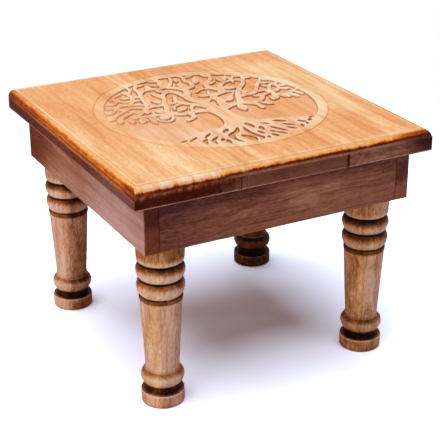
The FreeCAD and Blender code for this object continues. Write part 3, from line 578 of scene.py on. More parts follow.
class Field:
    """Signed distances in millimetres over places in the medallion, below 0 inside the wood that stands."""

    def __init__(self, x, y):
        self.x, self.y = x, y
        self.value = np.full(x.shape, FIELD_REACH)

    def window(self, points, margin):
        """Which places lie within a margin about the points."""
        low, high = points.min(0) - margin, points.max(0) + margin
        inside = (self.x > low[0]) & (self.x < high[0]) & (self.y > low[1]) & (self.y < high[1])
        return np.nonzero(inside)[0]

    def from_stretch(self, at, a, b):
        """How far places are from the stretch between two points, and along it from 0 to 1."""
        px, py = self.x[at] - a[0], self.y[at] - a[1]
        along = b - a
        t = np.clip((px * along[0] + py * along[1]) / (along @ along), 0, 1)
        return np.hypot(px - t * along[0], py - t * along[1]), t

    def stroke(self, path, radii, cut=False):
        """A stroke along path, as wide on either side as its radii, of standing wood or cut out of it."""
        for a, b, ra, rb in zip(path[:-1], path[1:], radii[:-1], radii[1:]):
            at = self.window(np.array([a, b]), max(ra, rb) + FIELD_REACH)
            distance, t = self.from_stretch(at, a, b)
            distance -= ra + (rb - ra) * t
            known = self.value[at]
            self.value[at] = np.maximum(known, -distance) if cut else np.minimum(known, distance)

    def leaf(self, foot, tip, width):
        """A pointed leaf between two arcs."""
        length = np.hypot(*(tip - foot))
        radius = (length**2 + width**2) / (4 * width)
        middle = (foot + tip) / 2
        across = np.array([foot[1] - tip[1], tip[0] - foot[0]]) / length * (radius - width / 2)
        at = self.window(np.array([foot, tip]), width / 2 + FIELD_REACH)
        centres = (middle + across, middle - across)
        sides = [np.hypot(self.x[at] - c[0], self.y[at] - c[1]) - radius for c in centres]
        self.value[at] = np.minimum(self.value[at], np.maximum(*sides))

    def outline(self, points):
        """A filled closed outline."""
        at = self.window(points, FIELD_REACH)
        x, y = self.x[at], self.y[at]
        nearest = np.full(x.shape, np.inf)
        inside = np.zeros(x.shape, bool)
        for a, b in zip(points, np.roll(points, -1, 0)):
            nearest = np.minimum(nearest, self.from_stretch(at, a, b)[0])
            along = b - a
            if along[1] != 0:
                crossing = (a[1] > y) != (b[1] > y)
                inside ^= crossing & (x < a[0] + (y - a[1]) * along[0] / along[1])
        self.value[at] = np.minimum(self.value[at], np.where(inside, -nearest, nearest))


def carving_depth_field(x, y):
    """Distance into the carved ground from its edge at each place, below 0 on the wood that stands, and
    whether the place is within the trunk and its roots."""
    field = Field(x - MEDALLION_X, y - MEDALLION_Y)
    unit = GROUND_RADIUS * HUNDREDTH
    left = smooth_path(TRUNK_LEFT, 8)
    right = smooth_path(TRUNK_RIGHT, 8)
    crotch = smooth_path((TRUNK_LEFT[-1], TRUNK_CROTCH, TRUNK_RIGHT[0]), 6)[1:-1]
    floor = np.array([(TRUNK_RIGHT[-1][0], ROOTS_FLOOR), (TRUNK_LEFT[0][0], ROOTS_FLOOR)])
    field.outline(np.vstack([left, crotch, right, floor]) * unit)
    roots = field.value < 0
    for limb in LIMBS:
        path = smooth_path(limb[1:], 6) * unit
        field.stroke(path, limb[0] * unit / 2 * np.linspace(1, LIMB_TIP, len(path)))
    for foot, tip, width in LEAVES:
        field.leaf(np.array(foot) * unit, np.array(tip) * unit, width * unit)
    for slit in ROOT_SLITS:
        path = smooth_path(slit[1:], 8) * unit
        pointed = np.sin(math.pi * np.linspace(0, 1, len(path))) ** SLIT_FULLNESS
        field.stroke(path, (slit[0] * unit / 2 + SLIT_EASE) * pointed, cut=True)
    rim = GROUND_RADIUS - np.hypot(field.x, field.y)
    return np.clip(np.minimum(field.value, rim), -FIELD_REACH, FIELD_REACH), roots


def carved_drop(x, y, into):
    """How far the surface lies below the flat, from the carving and its ring."""
    wall = rise(into, 0.15 - WALL_WIDTH / 2, 0.15 + WALL_WIDTH / 2)
    reach = np.hypot(x - MEDALLION_X, y - MEDALLION_Y)
    tree = rise(-into, 0, CROWN_REACH)
    within = rise(GROUND_RADIUS + 1.5 - reach, 0, 1.5)
    crown = CROWN_DROP * (1 - tree) * within
    rim = 0.25 * (1 - tree) * (1 - within)
    gouge = 0.10 * ripple(x, y * 0.6, 5.0, 3) + 0.06 * ripple(x, y, 2.1, 4)
    groove = np.clip(np.abs(reach - RING_RADIUS) / (RING_WIDTH / 2), 0, 1)
    ring = RING_DEPTH * np.cos(groove * math.pi / 2) ** 2
    return wall * (GROUND_DEPTH + gouge) + (1 - wall) * (crown + rim) + ring


# The top boards


def edge_stations():
    """The edge moulding from the outside in: how far in each station lies and how far below the flat."""
    ledge = STEP_DROP + ROUND_RADIUS
    stations = [(0.0, ledge + 0.35), (0.10, ledge + 0.08), (0.30, ledge), (LEDGE_WIDTH - 0.05, ledge)]
    for angle in np.radians((10, 18, 26, 34, 42, 50, 58, 66, 74, 82, 90)):
        into = LEDGE_WIDTH + ROUND_RADIUS * (1 - math.cos(angle))
        stations.append((into, ledge - ROUND_RADIUS * math.sin(angle)))
    step = LEDGE_WIDTH + ROUND_RADIUS + STEP_WIDTH
    stations += [(step - 0.6, STEP_DROP + 0.02), (step - 0.1, STEP_DROP), (step + 0.08, STEP_DROP * 0.6),
                 (step + 0.25, STEP_DROP * 0.18), (step + 0.55, 0.03), (step + 1.1, 0.0)]
    return np.array(stations)


def stations_across(middle, stops, squeeze=1.0):
    """Places along one axis of the top: the moulding at both ends, fine steps over the medallion about its
    middle and coarse ones beside it. stops are places that must be among them, and squeeze is how much
    narrower the moulding is at the low end."""
    inward = edge_stations()[:, 0]
    inner_low, inner_high = inward[-1] * squeeze - HALF_SIDE, HALF_SIDE - inward[-1]
    reach = RING_RADIUS + RING_WIDTH
    fine_low, fine_high = middle - reach, middle + reach
    marks = sorted({inner_low, fine_low, fine_high, inner_high, *stops})
    places = list(inward * squeeze - HALF_SIDE)
    for a, b in zip(marks[:-1], marks[1:]):
        step = FINE_STEP if fine_low <= a and b <= fine_high else COARSE_STEP
        count = max(1, round((b - a) / step))
        places += list(a + (b - a) * np.arange(1, count + 1) / count)
    return np.array(places[:-1] + list(HALF_SIDE - inward[::-1]))


def rounded_plan(x, y):
    """Each place of the square plan moved so that its outlines turn round the corners."""
    dx, dy = HALF_SIDE - np.abs(x), HALF_SIDE - np.abs(y)
    into, beyond = np.minimum(dx, dy), np.abs(dx - dy)
    radius = PLAN_CORNER_RADIUS * fade(into, 3, 11) + 1e-6
    angle = math.pi / 4 * (1 - np.clip(beyond / radius, 0, 1))
    far = into + radius - radius * np.sin(angle)
    near = into + radius - radius * np.cos(angle)
    turned = beyond < radius
    new_dx = np.where(turned, np.where(dx > dy, far, near), dx)
    new_dy = np.where(turned, np.where(dx > dy, near, far), dy)
    return np.sign(x) * (HALF_SIDE - new_dx), np.sign(y) * (HALF_SIDE - new_dy)


def edge_colours(x, y, into, moulding, on_front):
    """stain_and_shade, wear_and_highlight, dirt_and_shade and cool of the flat and its moulding. The round is
    golden at the step and orange below, with dark lines along it. On the front it has a ragged dark foot, and
    its left third is rubbed almost white. The pale line just inside the step is partly polish and partly a
    painted highlight, and at the right of the front a golden line along the top of the round and a pinkish
    one at its foot are painted highlights."""
    down = np.clip((moulding - STEP_DROP) / ROUND_RADIUS, 0, 1)
    step = LEDGE_WIDTH + ROUND_RADIUS + STEP_WIDTH
    on_round = into < step - STEP_WIDTH
    at_step = rise(into, step - 1.0, step - 0.6) * fade(into, step - 0.2, step + 0.2)
    ragged = 0.5 * ripple(x, y, 9, 40) + 0.5 * ripple(x, y, 3.4, 41) + 0.4 * ripple(x, y, 1.4, 42)

    # Stain of the round by how far down it is: at the sides, and at the left and right of the front
    side = np.interp(down + 0.05 * ragged, (0, 0.12, 0.21, 0.36, 0.51, 0.65, 0.78, 0.90, 1),
                     (0.27, 0.29, 0.36, 0.42, 0.56, 0.48, 0.39, 0.52, 0.60))
    side += 0.06 * ripple(x, y / 5, 1.2, 43) + 0.08 * rise(y, 30, 80) + 0.16 * rise(y, 110, 146)
    side += 0.25 * rise(-y, 116, 146) * rise(down, 0.0, 0.35)
    right = np.interp(down + 0.13 * ragged, (0, 0.28, 0.38, 0.48, 0.68, 1),
                      (0.27, 0.28, 0.37, 0.66, 0.82, 0.90))
    right += 0.28 * rise(x, 95, 125)
    left = np.interp(down + 0.10 * ragged, (0, 0.40, 0.62, 0.78, 0.90, 1),
                     (0.02, 0.10, 0.34, 0.74, 0.70, 0.62))
    pale = fade(x + 14 * ragged, -80, -30)
    dark = 1 - pale
    drips = 0.8 * ripple(x, 0 * x, 1.5, 48) + 0.9 * ripple(x, 0 * x, 5.3, 49)
    drips = np.clip(drips + 0.25 * rise(x, -125, -50) + 0.25, 0, 1)
    front = left * pale + right * dark + 0.24 * pale * drips
    stain_and_shade = np.where(on_round, np.where(on_front, front, side), 0.10)
    stain_and_shade += at_step * np.where(on_front, 0.20 * dark, 0.22)
    stain_and_shade = np.where(into < LEDGE_WIDTH, np.where(on_front, 0.66 + 0.24 * dark, 0.60), stain_and_shade)

    # Where it is rubbed and where highlights are painted: the pale left of the front is rubbed, and the
    # golden line above and the pinkish one below at its right are painted highlights
    rubbed = 0.62 * pale * fade(down + 0.34 * drips + 0.12 * ragged, 0.35, 0.85)
    rubbed *= 1 - 0.75 * drips * rise(down, 0.0, 0.5)
    rubbed *= np.clip(0.85 + 0.5 * ripple(x + 0.8 * down, down, 1.1, 57), 0.3, 1)
    golden = 0.35 * dark * bell(down + 0.15 * ragged, 0.10, 0.10) * fade(x, 95, 125)
    pinkish = 0.55 * dark * rise(down, 0.74, 0.86) * fade(x, 105, 130)
    # A pale line on the flat just inside the step: partly polish, partly a painted highlight
    wear_and_highlight = 0.9 * bell(into, step + 0.9, 0.9) * (0.85 + 0.25 * ripple(x, y, 23, 44))
    wear_and_highlight += on_round * np.where(on_front, rubbed + golden + pinkish, 0.2 * bell(down, 0.05, 0.10))
    foot = np.interp(x, (-90, -40), (0.78, 0.56)) + 0.10 * ragged
    dirt_and_shade = on_round * on_front * 0.55 * bell(down, foot, 0.10) * np.clip(0.8 + 0.6 * ragged, 0, 1)
    dirt_and_shade += on_round * on_front * 0.55 * rise(x, 112, 146) * rise(down, 0.2, 0.6)
    cool = 0.6 * on_round * on_front * pale * rise(x, -146, -128) * (1 - 0.6 * rise(x, -95, -60))
    return stain_and_shade, wear_and_highlight, dirt_and_shade, cool


def side_colours(x, y, down):
    """stain_and_shade, wear_and_highlight, dirt_and_shade and cool of the upright sides, by how far down they
    are from the ledge. The left side is orange above a thin pale line, a painted highlight of the ledge's
    edge, and dark below it, and the front is mottled golden above at its left and has a thin painted
    highlight along its top at the right."""
    ragged = 0.6 * ripple(x, y, 11, 50) + 0.5 * ripple(x, y, 3.1, 51)
    on_left = (x < 0) & (np.abs(x) > np.abs(y))
    on_front = (y < 0) & (np.abs(y) >= np.abs(x))
    line = np.interp(y, (-150, -100, 0, 60), (4.2, 3.8, 2.8, 2.4)) + 0.25 * ragged
    above = np.interp(down, (0.0, 0.8, 1.8, 2.8), (0.60, 0.56, 0.46, 0.52)) + 0.30 * rise(-y, 118, 146)
    left_stain = np.where(down < line - 0.4, above, 0.76 + 0.22 * rise(-y, 30, 95))
    left_stain += 0.06 * rise(y, 60, 130)
    # A thin pale line along the left side: a painted highlight of the ledge's edge
    left_ledge_highlight = 0.60 * bell(down, line, 0.4) * fade(y, 30, 100)
    left_dirt = 0.22 * (down > line) + 0.50 * rise(y, 135, 149)
    left_dirt += 0.30 * rise(y, 60, 130) * rise(down, 2, 9)

    pale = fade(x + 10 * ragged, -75, -45)
    strokes = np.clip(0.45 + 0.8 * ripple(x, 0 * x, 1.4, 52) + 0.6 * ripple(x, down / 3, 3.3, 53), 0, 1)
    mottled = pale * fade(down + 1.6 * ragged, 0.8, 5.0) * strokes
    front_stain = 1.03 - pale * (0.38 - 0.18 * rise(down, 1.5, 4.5))
    slanted = np.clip(0.5 + 0.8 * ripple(x + 3.0 * down, 6 * down - x, 9, 54), 0, 1)
    front_wear_and_highlight = 0.24 * mottled + 0.42 * slanted * rise(x, 57.5, 59.5) * fade(x, 112, 130)
    # A thin painted highlight along the top of the front at its right
    front_wear_and_highlight += 0.40 * (1 - pale) * fade(down, 0.0, 0.4) * fade(x, 105, 130)
    front_wear_and_highlight += 0.25 * np.clip(ripple(x, down / 9, 1.6, 55), 0, 1) * bell(x, -52, 14)
    front_dirt = 0.62 * pale * (1 - mottled) + 0.22 * (1 - pale) * fade(down, 4.5, 7.5)
    front_dirt += 0.75 * rise(x, 116, 144)

    sides = [on_left, on_front]
    stain_and_shade = np.select(sides, [left_stain, front_stain], 0.90) + 0.04 * ripple(x / 3, y / 3 + down, 1.8, 56)
    wear_and_highlight = np.select(sides, [left_ledge_highlight, front_wear_and_highlight], 0.0)
    dirt_and_shade = np.select(sides, [left_dirt, front_dirt], 0.15)
    cool = on_left * (down > line) * rise(-y, 20, 100)
    return stain_and_shade, wear_and_highlight, dirt_and_shade, cool


def carving_colours(x, y, carve, roots, towards_x, towards_y):
    """What the carving adds to stain_and_shade, wear_and_highlight, dirt_and_shade and cool. Its walls get
    painted shade, most where they face the front, and so do the narrow slits between the roots; the edges of
    the standing wood beside them get painted highlights, most where they face the left and the front. carve
    is the distance into the ground, and towards_x and towards_y are how it changes along X and Y."""
    to_left = rise(-towards_x, -0.4, 0.5)
    to_front = rise(-0.47 * towards_x - 0.88 * towards_y, -0.5, 0.3)
    from_middle = np.hypot(x - MEDALLION_X, y - MEDALLION_Y)
    # How strong the carving's painted shade and highlights, and the polish inside the ring, are: fainter
    # towards the left
    bold = 0.30 + 0.70 * rise(x - MEDALLION_X, -95, -35)
    recess = rise(carve, 0.0, 0.8)
    # Painted shade on the walls of the ground, a little all round and most where they face the front
    wall = rise(carve, -0.2, 0.1) * fade(carve, 0.5, 1.3) * (0.2 + 0.8 * to_front) * bold
    ring = bell(from_middle, RING_RADIUS, 0.5) * np.clip(0.7 + 0.7 * ripple(x, y, 30, 9), 0.1, 1)
    polished = (1 - recess) * fade(from_middle, RING_RADIUS - 1.5, RING_RADIUS - 0.5)
    # Painted highlight along the edges of the standing wood beside the ground
    arris_highlight = (1 - recess) * bell(carve, -0.8, 0.6)

    # The ground takes a little more stain; the walls and the slits between the roots get painted shade
    stain_and_shade = recess * (0.09 + 0.04 * rise(x, 20, 60) + 0.02 * roots) + 0.38 * wall + 0.16 * ring
    wear_and_highlight = (0.14 + 0.28 * rise(-x, 0, 50)) * recess * (1 - roots) * (1 + 0.6 * ripple(x, y, 26, 16))
    wear_and_highlight += polished * (0.52 * bold + 0.62 * rise(x, 60, 105)) * (0.9 + 0.3 * ripple(x, y, 14, 15))
    # Painted highlights on the edges, strongest where they face the left and the front
    wear_and_highlight += 0.8 * bold * arris_highlight * (0.4 + 0.3 * to_left + 0.3 * to_front)
    # Painted shade on the walls and in the narrow slits between the roots, and a darker ring line
    dirt_and_shade = 0.60 * wall + 0.22 * recess * roots + 0.18 * ring
    cool = 0.45 * recess + 0.35 * polished * fade(from_middle, GROUND_RADIUS - 1, GROUND_RADIUS + 1)
    return stain_and_shade, wear_and_highlight, dirt_and_shade, cool


def top_board(side, material):
    """One board of the top: a fine carved and moulded upper face, upright sides and a plain underside."""
    low, high = BOARD_BOXES[side]
    xs = stations_across(MEDALLION_X, (LEFT_JOINT, RIGHT_JOINT), LEFT_SQUEEZE)
    ys = stations_across(MEDALLION_Y, ())
    xs = xs[(xs > low[0] - 1e-6) & (xs < high[0] + 1e-6)]
    rows, columns = len(ys), len(xs)
    flat_x, flat_y = [a.ravel() for a in np.meshgrid(xs, ys)]
    into_x = np.where(flat_x < 0, (HALF_SIDE + flat_x) / LEFT_SQUEEZE, HALF_SIDE - flat_x)
    into_y = HALF_SIDE - np.abs(flat_y)
    into = np.minimum(into_x, into_y)
    x, y = rounded_plan(flat_x, flat_y)

    stations = edge_stations()
    moulding = np.interp(into, stations[:, 0], stations[:, 1])
    carve, roots = carving_depth_field(x, y)
    drop = moulding + carved_drop(x, y, carve)
    drop += 0.05 * (1 + ripple(x, y, 24, 7)) * rise(into, 9, 14)
    joints = [edge for edge in (low[0], high[0]) if abs(abs(edge) - HALF_SIDE) > 1]
    for edge in joints:
        drop += 0.22 * fade(np.abs(flat_x - edge), 0, 0.55)
    worn_in = 0.22 * (1 + ripple(x + 300, y + 300, 17, 5)) * fade(into, 0.3, 7)
    to_side = np.abs(x) >= np.abs(y)
    x, y = x - np.sign(x) * worn_in * to_side, y - np.sign(y) * worn_in * ~to_side
    for edge in joints:
        x = np.where(np.abs(flat_x - edge) < 1e-6, edge, x)
    points = [np.stack([x, y, TOP - drop], 1)]

    # Colour fields of the upper face
    on_front = (flat_y < 0) & (into_y <= into_x)
    towards_y, towards_x = np.gradient(carve.reshape(rows, columns), ys, xs)
    plain = edge_colours(x, y, into, moulding, on_front)
    carved = carving_colours(x, y, carve, roots, towards_x.ravel(), towards_y.ravel())
    names = ("stain_and_shade", "wear_and_highlight", "dirt_and_shade", "cool")
    fields = {name: [a + b] for name, a, b in zip(names, plain, carved)}
    for place_x, place_y, reach_x, reach_y, amount in PATCHES:
        fields["stain_and_shade"][0] += amount * bell(x, place_x, reach_x) * bell(y, place_y, reach_y)
    for edge in joints:
        line = fade(np.abs(flat_x - edge), 0, 0.6)
        fields["dirt_and_shade"][0] += 0.35 * line * (0.6 + 0.4 * ripple(y, y, 12, 6))

    # Upright sides below the boundary of the upper face, level by level
    grid = np.arange(rows * columns).reshape(rows, columns)
    loop = np.concatenate([grid[0, :-1], grid[:-1, -1], grid[-1, :0:-1], grid[:0:-1, 0]])
    at_x, at_y = [np.abs(np.abs(place[loop]) - HALF_SIDE) < 1e-6 for place in (flat_x, flat_y)]
    outer = at_x | at_y
    upper = TOP - drop[loop]
    lower = TOP_UNDERSIDE + LOWER_CHAMFER
    faces = grid_faces(rows, columns)
    count, last, total = len(loop), loop, rows * columns
    bx, by = x[loop], y[loop]
    shares = (0.04, 0.09, 0.14, 0.20, 0.26, 0.32, 0.38, 0.46, 0.56, 0.68, 0.80, 0.92)
    rings = [(upper + (lower - upper) * share, 0.0) for share in shares]
    chamfer = ((lower, 0.06), (TOP_UNDERSIDE + LOWER_CHAMFER * 0.3, LOWER_CHAMFER * 0.62),
               (TOP_UNDERSIDE, LOWER_CHAMFER))
    rings += [(np.full(count, level), inset) for level, inset in chamfer]
    joint_line = np.zeros(count)
    for edge in joints:
        joint_line = np.maximum(joint_line, 0.9 * (np.abs(bx - edge) < (0.5 if edge < 0 else 1.5)))
    for level, inset in rings:
        wave = inset + 0.10 * (1 + ripple(bx + 300, by + 300, 9, 11)) * (level < lower + 1.5)
        px, py = [np.where(outer, np.clip(b, wave - HALF_SIDE, HALF_SIDE - wave), b) for b in (bx, by)]
        points.append(np.stack([px, py, level], 1))
        at_arris = (level < lower + 0.2) & (level > TOP_UNDERSIDE + 0.1)
        stain_and_shade, wear_and_highlight, dirt_and_shade, cool = side_colours(bx, by, upper - level)
        # Pale lavender line along the lower arris: partly a worn edge, partly a painted highlight
        wear_and_highlight += 0.80 * at_arris * (1 + 0.4 * ripple(bx, by, 14, 47)) * (1 - 0.7 * rise(by, 60, 120))
        fields["stain_and_shade"].append(np.where(outer, stain_and_shade, 0.3))
        fields["wear_and_highlight"].append(np.where(outer, wear_and_highlight, 0.0))
        fields["dirt_and_shade"].append(np.where(outer, np.where(at_arris, 0, dirt_and_shade) + joint_line, 0.3))
        fields["cool"].append(np.where(outer, np.maximum(cool, at_arris), 0.0))
        new = total + np.arange(count)
        faces += np.stack([last, np.roll(last, -1), np.roll(new, -1), new], 1)[:, ::-1].tolist()
        last, total = new, total + count

    # The underside: strips from left to right and one face at each end
    bottom = {int(a): int(b) for a, b in zip(loop, last)}
    ends = grid[:, [0, -1]]
    strips = [(a, c, d, b) for (a, b), (c, d) in zip(ends[1:-2], ends[2:-1])]
    strips += [[*grid[0, ::-1], grid[1, 0], grid[1, -1]], [*grid[-1, :], grid[-2, -1], grid[-2, 0]]]
    faces += [[bottom[int(k)] for k in strip] for strip in strips]
    fields = {name: np.clip(np.concatenate(values), 0, 1) for name, values in fields.items()}
    mesh_object("carved_board_" + side, np.vstack(points), faces, material,
                ["top_board_" + side], fields)


# The aprons


def eased_board(name, material, seed, looks):
    """An apron with softened, slightly uneven edges. looks gives its fields."""
    low, high = node_box("apron_" + name)
    axes = []
    for a, b in zip(low, high):
        count = max(2, round((b - a - 2 * APRON_EASE) / APRON_STEP))
        inner = np.linspace(a + APRON_EASE, b - APRON_EASE, count + 1)
        axes.append(np.concatenate([[a, a + APRON_EASE * 0.45], inner, [b - APRON_EASE * 0.45, b]]))
    sizes = [len(axis) for axis in axes]
    index, points, faces = {}, [], []

    def corner(ijk):
        if ijk not in index:
            index[ijk] = len(points)
            points.append([axes[k][ijk[k]] for k in range(3)])
        return index[ijk]

    for k in range(3):
        u, v = (k + 1) % 3, (k + 2) % 3
        for end in (0, sizes[k] - 1):
            for i, j in np.ndindex(sizes[u] - 1, sizes[v] - 1):
                quad = []
                for di, dj in ((0, 0), (1, 0), (1, 1), (0, 1)):
                    ijk = [0, 0, 0]
                    ijk[k], ijk[u], ijk[v] = end, i + di, j + dj
                    quad.append(corner(tuple(ijk)))
                faces.append(quad if end else quad[::-1])
    p = np.array(points)
    mixed = p @ np.array([[1.0, 0.37], [0.61, 1.0], [0.83, -0.71]])
    radius = APRON_EASE * (1 + 0.45 * ripple(mixed[:, 0] + 500, mixed[:, 1] + 500, 11, seed))[:, None]
    core = np.clip(p, low + radius, high - radius)
    away = p - core
    length = np.maximum(np.linalg.norm(away, axis=1, keepdims=True), 1e-9)
    rounded = core + away / length * np.minimum(radius, length)
    on_edge = (np.minimum(p - low, high - p) < APRON_EASE * 0.99).sum(1) >= 2
    drop = (high[2] - p[:, 2]) / (high[2] - low[2])
    fields = dict(zip(("stain_and_shade", "wear_and_highlight", "dirt_and_shade", "cool"), looks(p, drop, on_edge)))
    mesh_object("board_apron_" + name, rounded, faces, material, ["apron_" + name], fields)


def long_apron_looks(p, drop, on_edge):
    """The front and back aprons: darker along the top and at the left, with a pale patch right of the
    middle."""
    x = p[:, 0]
    wavy = drop + 0.10 * ripple(x, p[:, 2], 30, 60)
    stain_and_shade = 0.44 + 0.34 * fade(wavy, 0.12, 0.50) + 0.24 * fade(x, -118, -60) * (1 - 0.4 * drop)
    stain_and_shade -= 0.34 * bell(x, 32, 34) * bell(wavy, 0.52, 0.26)
    stain_and_shade -= 0.22 * bell(x, -40, 30) * bell(wavy, 0.50, 0.14)
    stain_and_shade -= 0.14 * bell(x, 92, 10) * bell(wavy, 0.52, 0.10)
    wear_and_highlight = 0.40 * (on_edge & (drop > 0.95))
    dirt_and_shade = 0.6 * (np.abs(x) > np.abs(x).max() - 0.5)
    cool = 0.6 * fade(x, -110, -60) * fade(drop, 0.3, 0.5)
    return stain_and_shade, wear_and_highlight, dirt_and_shade, cool


def side_apron_looks(p, drop, on_edge):
    """The left and right aprons: pale towards the front and the lower edge, dark red towards the back, with
    painted shade just under the top and a painted shadow at one upper corner. Their end grain is dark in its
    upper half and reddish below."""
    left = p[:, 0] < 0
    out_x, out_y = np.abs(p[:, 0]), np.abs(p[:, 1])
    y = np.where(left, p[:, 1], -p[:, 1])
    stain_and_top_shade = 0.06 + 0.24 * rise(y, -90, 10) + 0.52 * rise(y, 50, 125)
    # Darker just under the top, as painted shade from its overhang, and paler along the lower edge
    stain_and_top_shade += 0.14 * fade(drop, 0.05, 0.40) - 0.14 * rise(drop, 0.65, 1.0)
    turned = drop + 0.04 * ripple(p[:, 0], p[:, 2], 4, 61)
    reddish = rise(turned, 0.40, 0.56)
    end_grain = np.where(left, 1.0 - 0.16 * reddish, 0.74 - 0.24 * rise(turned, 0.55, 0.70))
    at_end = out_y > out_y.max() - 0.5
    stain_and_shade = np.where(at_end, end_grain, stain_and_top_shade)
    at_corner = (out_x > out_x.max() - 0.5) & at_end
    wear_and_highlight = 0.55 * (on_edge & left & ((drop > 0.95) | at_corner)) * (0.4 + 0.6 * rise(drop, 0.1, 0.6))
    wear_and_highlight += 0.07 * (at_end & left) * (1 + reddish)
    joint = on_edge & at_end & (out_x < out_x.max() - 5)
    dirt_and_shade = np.where(left, 0.6, 0.3) * joint * rise(drop, 0.35, 0.5)
    # Painted shadow of the top's overhang at the upper front corner of the left apron and the upper back
    # corner of the right one
    dirt_and_shade += 0.35 * rise(-y, 95, 130) * fade(drop, 0.12, 0.40) * ~at_end
    cool = np.where(at_end, 0.5 * (1 - reddish), 0.45 * fade(y, -50, 60))
    return stain_and_shade, wear_and_highlight, dirt_and_shade, cool


# The turned legs


def bead_points(start, peak_radius, end, count=9):
    """Two arcs that meet upright at a bead's widest point."""
    peak = np.array([peak_radius, start[1] + (end[1] - start[1]) * BEAD_PEAK])
    found = []
    for tip, order in ((start, -1), (end, 1)):
        height, reach = abs(tip[1] - peak[1]), peak[0] - tip[0]
        radius = (reach**2 + height**2) / (2 * reach)
        angles = np.linspace(0, math.atan2(height, radius - reach), count + 1)
        places = (peak[0] - radius * (1 - np.cos(angles)), peak[1] + order * radius * np.sin(angles))
        arc = np.stack(places, 1)
        found.append(arc[::-1] if order < 0 else arc[1:])
    return np.vstack(found)[1:]


def leg_outline():
    """The outline of a leg from its foot up, with its sharp corners eased and straight runs divided."""
    corners, soft = [np.array([0.0, 0.0])], [False]
    for stage in LEG_STAGES:
        if len(stage) == 2:
            corners.append(np.array(stage))
            soft.append(True)
        else:
            arc = bead_points(corners[-1], stage[0], np.array(stage[1:]))
            corners += list(arc)
            soft += [False] * len(arc)
    corners.append(np.array([0.0, LEG_TOP]))
    points = [corners[0]]
    for before, here, after, eased in zip(corners[:-2], corners[1:-1], corners[2:], soft[1:]):
        new = [here]
        if eased:
            back, on = before - here, after - here
            ease = min(0.4, 0.3 * np.hypot(*back), 0.3 * np.hypot(*on))
            a, b = here + back / np.hypot(*back) * ease, here + on / np.hypot(*on) * ease
            new = [a, (a + 2 * here + b) / 4, b]
        for place in new:
            gap = place - points[-1]
            count = max(1, int(np.hypot(*gap) / 1.6))
            points += [points[-1] + gap * n / count for n in range(1, count + 1)]
    return np.array(points[1:])


def leg_stain_and_shade(radius, level, head):
    """How dark the leg is by level, from stain and painted shade: grooves and necks are darkest, partly stain
    and partly painted shade, the upper sides of the beads are darker partly from stain and partly from
    painted shade, and the underside of the ankle bead has painted shade. head is how dark its head is above
    the lower rim, partly stain and partly painted shade."""
    dark = np.full(level.shape, 0.10)
    grooves = ((RING_TOP - 0.3, 1.0, 0.50, 1.0), (COLLAR_TOP, COLLAR_HEIGHT, 0.56, 0.4),
               (LOWER_FOOT, LOWER_GROOVE_HEIGHT, 0.66, 0.6), (UPPER_FOOT, BEAD_GROOVE_HEIGHT, 0.97, 1.0),
               (HEAD_FOOT, HEAD_GROOVE_HEIGHT, 0.97, 1.0))
    for top, height, amount, soft in grooves:
        off = np.abs(level - top + height / 2)
        dark = np.maximum(dark, amount * fade(off, height / 2, height / 2 + soft))
    neck = rise(level, FOOT_HEIGHT - 0.6, FOOT_HEIGHT - 0.1) * fade(level, NECK_TOP, NECK_TOP + 2.0)
    inward = FOOT_RADIUS - radius
    neck = neck * rise(inward, 0.05, 0.5) * (0.50 + 0.34 * rise(inward, 2.6, 4.0))
    dark = np.maximum(dark, neck)
    # Darker upper sides of the beads: partly stain, partly painted shade under the overhang
    for top, fall, amount in ((ANKLE_TOP, 6.0, 0.46), (LOWER_TOP, 8.0, 0.62), (UPPER_TOP, 8.5, 0.74)):
        below = top - level
        dark = np.maximum(dark, amount * fade(below, 0.2, fall) * (below > -0.2))
    # Painted shade on the underside of the ankle bead
    dark = np.maximum(dark, 0.40 * fade(level, NECK_TOP, NECK_TOP + 5.0) * (level > NECK_TOP))
    # Darker head above its lower rim: partly stain, partly painted shade under the apron
    dark = np.maximum(dark, head * rise(level, HEAD_FOOT + 2.5, HEAD_FOOT + 7))
    return np.maximum(dark, 0.30 * fade(level, FOOT_HEIGHT - 3.0, FOOT_HEIGHT) * (0.6 + 0.4 * (level < 3)))


def leg_wear_and_highlights(radius, level, angle, glow, seed):
    """Where the leg is worn and where highlights are painted: painted highlight bands across its beads, and
    pale rims on its foot, its cone and its head, partly worn and partly painted highlight."""
    wear_and_highlight = np.zeros(level.shape)
    beads = ((NECK_TOP, ANKLE_TOP, 0.62, 0.40), (LOWER_FOOT, LOWER_TOP, 0.30, 0.62),
             (UPPER_FOOT, UPPER_TOP, 0.30, 0.62))
    # Painted highlight bands across the beads
    for foot, top, share, amount in beads:
        band = bell(level, foot + share * (top - foot), 0.17 * (top - foot))
        uneven = 0.8 + 0.5 * ripple(angle * 12 + 40, level / 2, 3, 70 + seed)
        wear_and_highlight = np.maximum(wear_and_highlight, amount * glow * band * uneven)
    rims = ((FOOT_HEIGHT - 0.2, 0.9 * glow, FOOT_RADIUS - 0.3),
            (RING_TOP - 0.3, 0.55, CONE_FOOT_RADIUS + 0.2),
            (HEAD_FOOT + HEAD_ROUNDING, 0.5, CONE_FOOT_RADIUS + 0.2))
    # Pale rims: partly worn, partly painted highlight
    for place, amount, inner in rims:
        wear_and_highlight = np.maximum(wear_and_highlight, amount * bell(level, place, 0.55) * (radius > inner))
    return wear_and_highlight


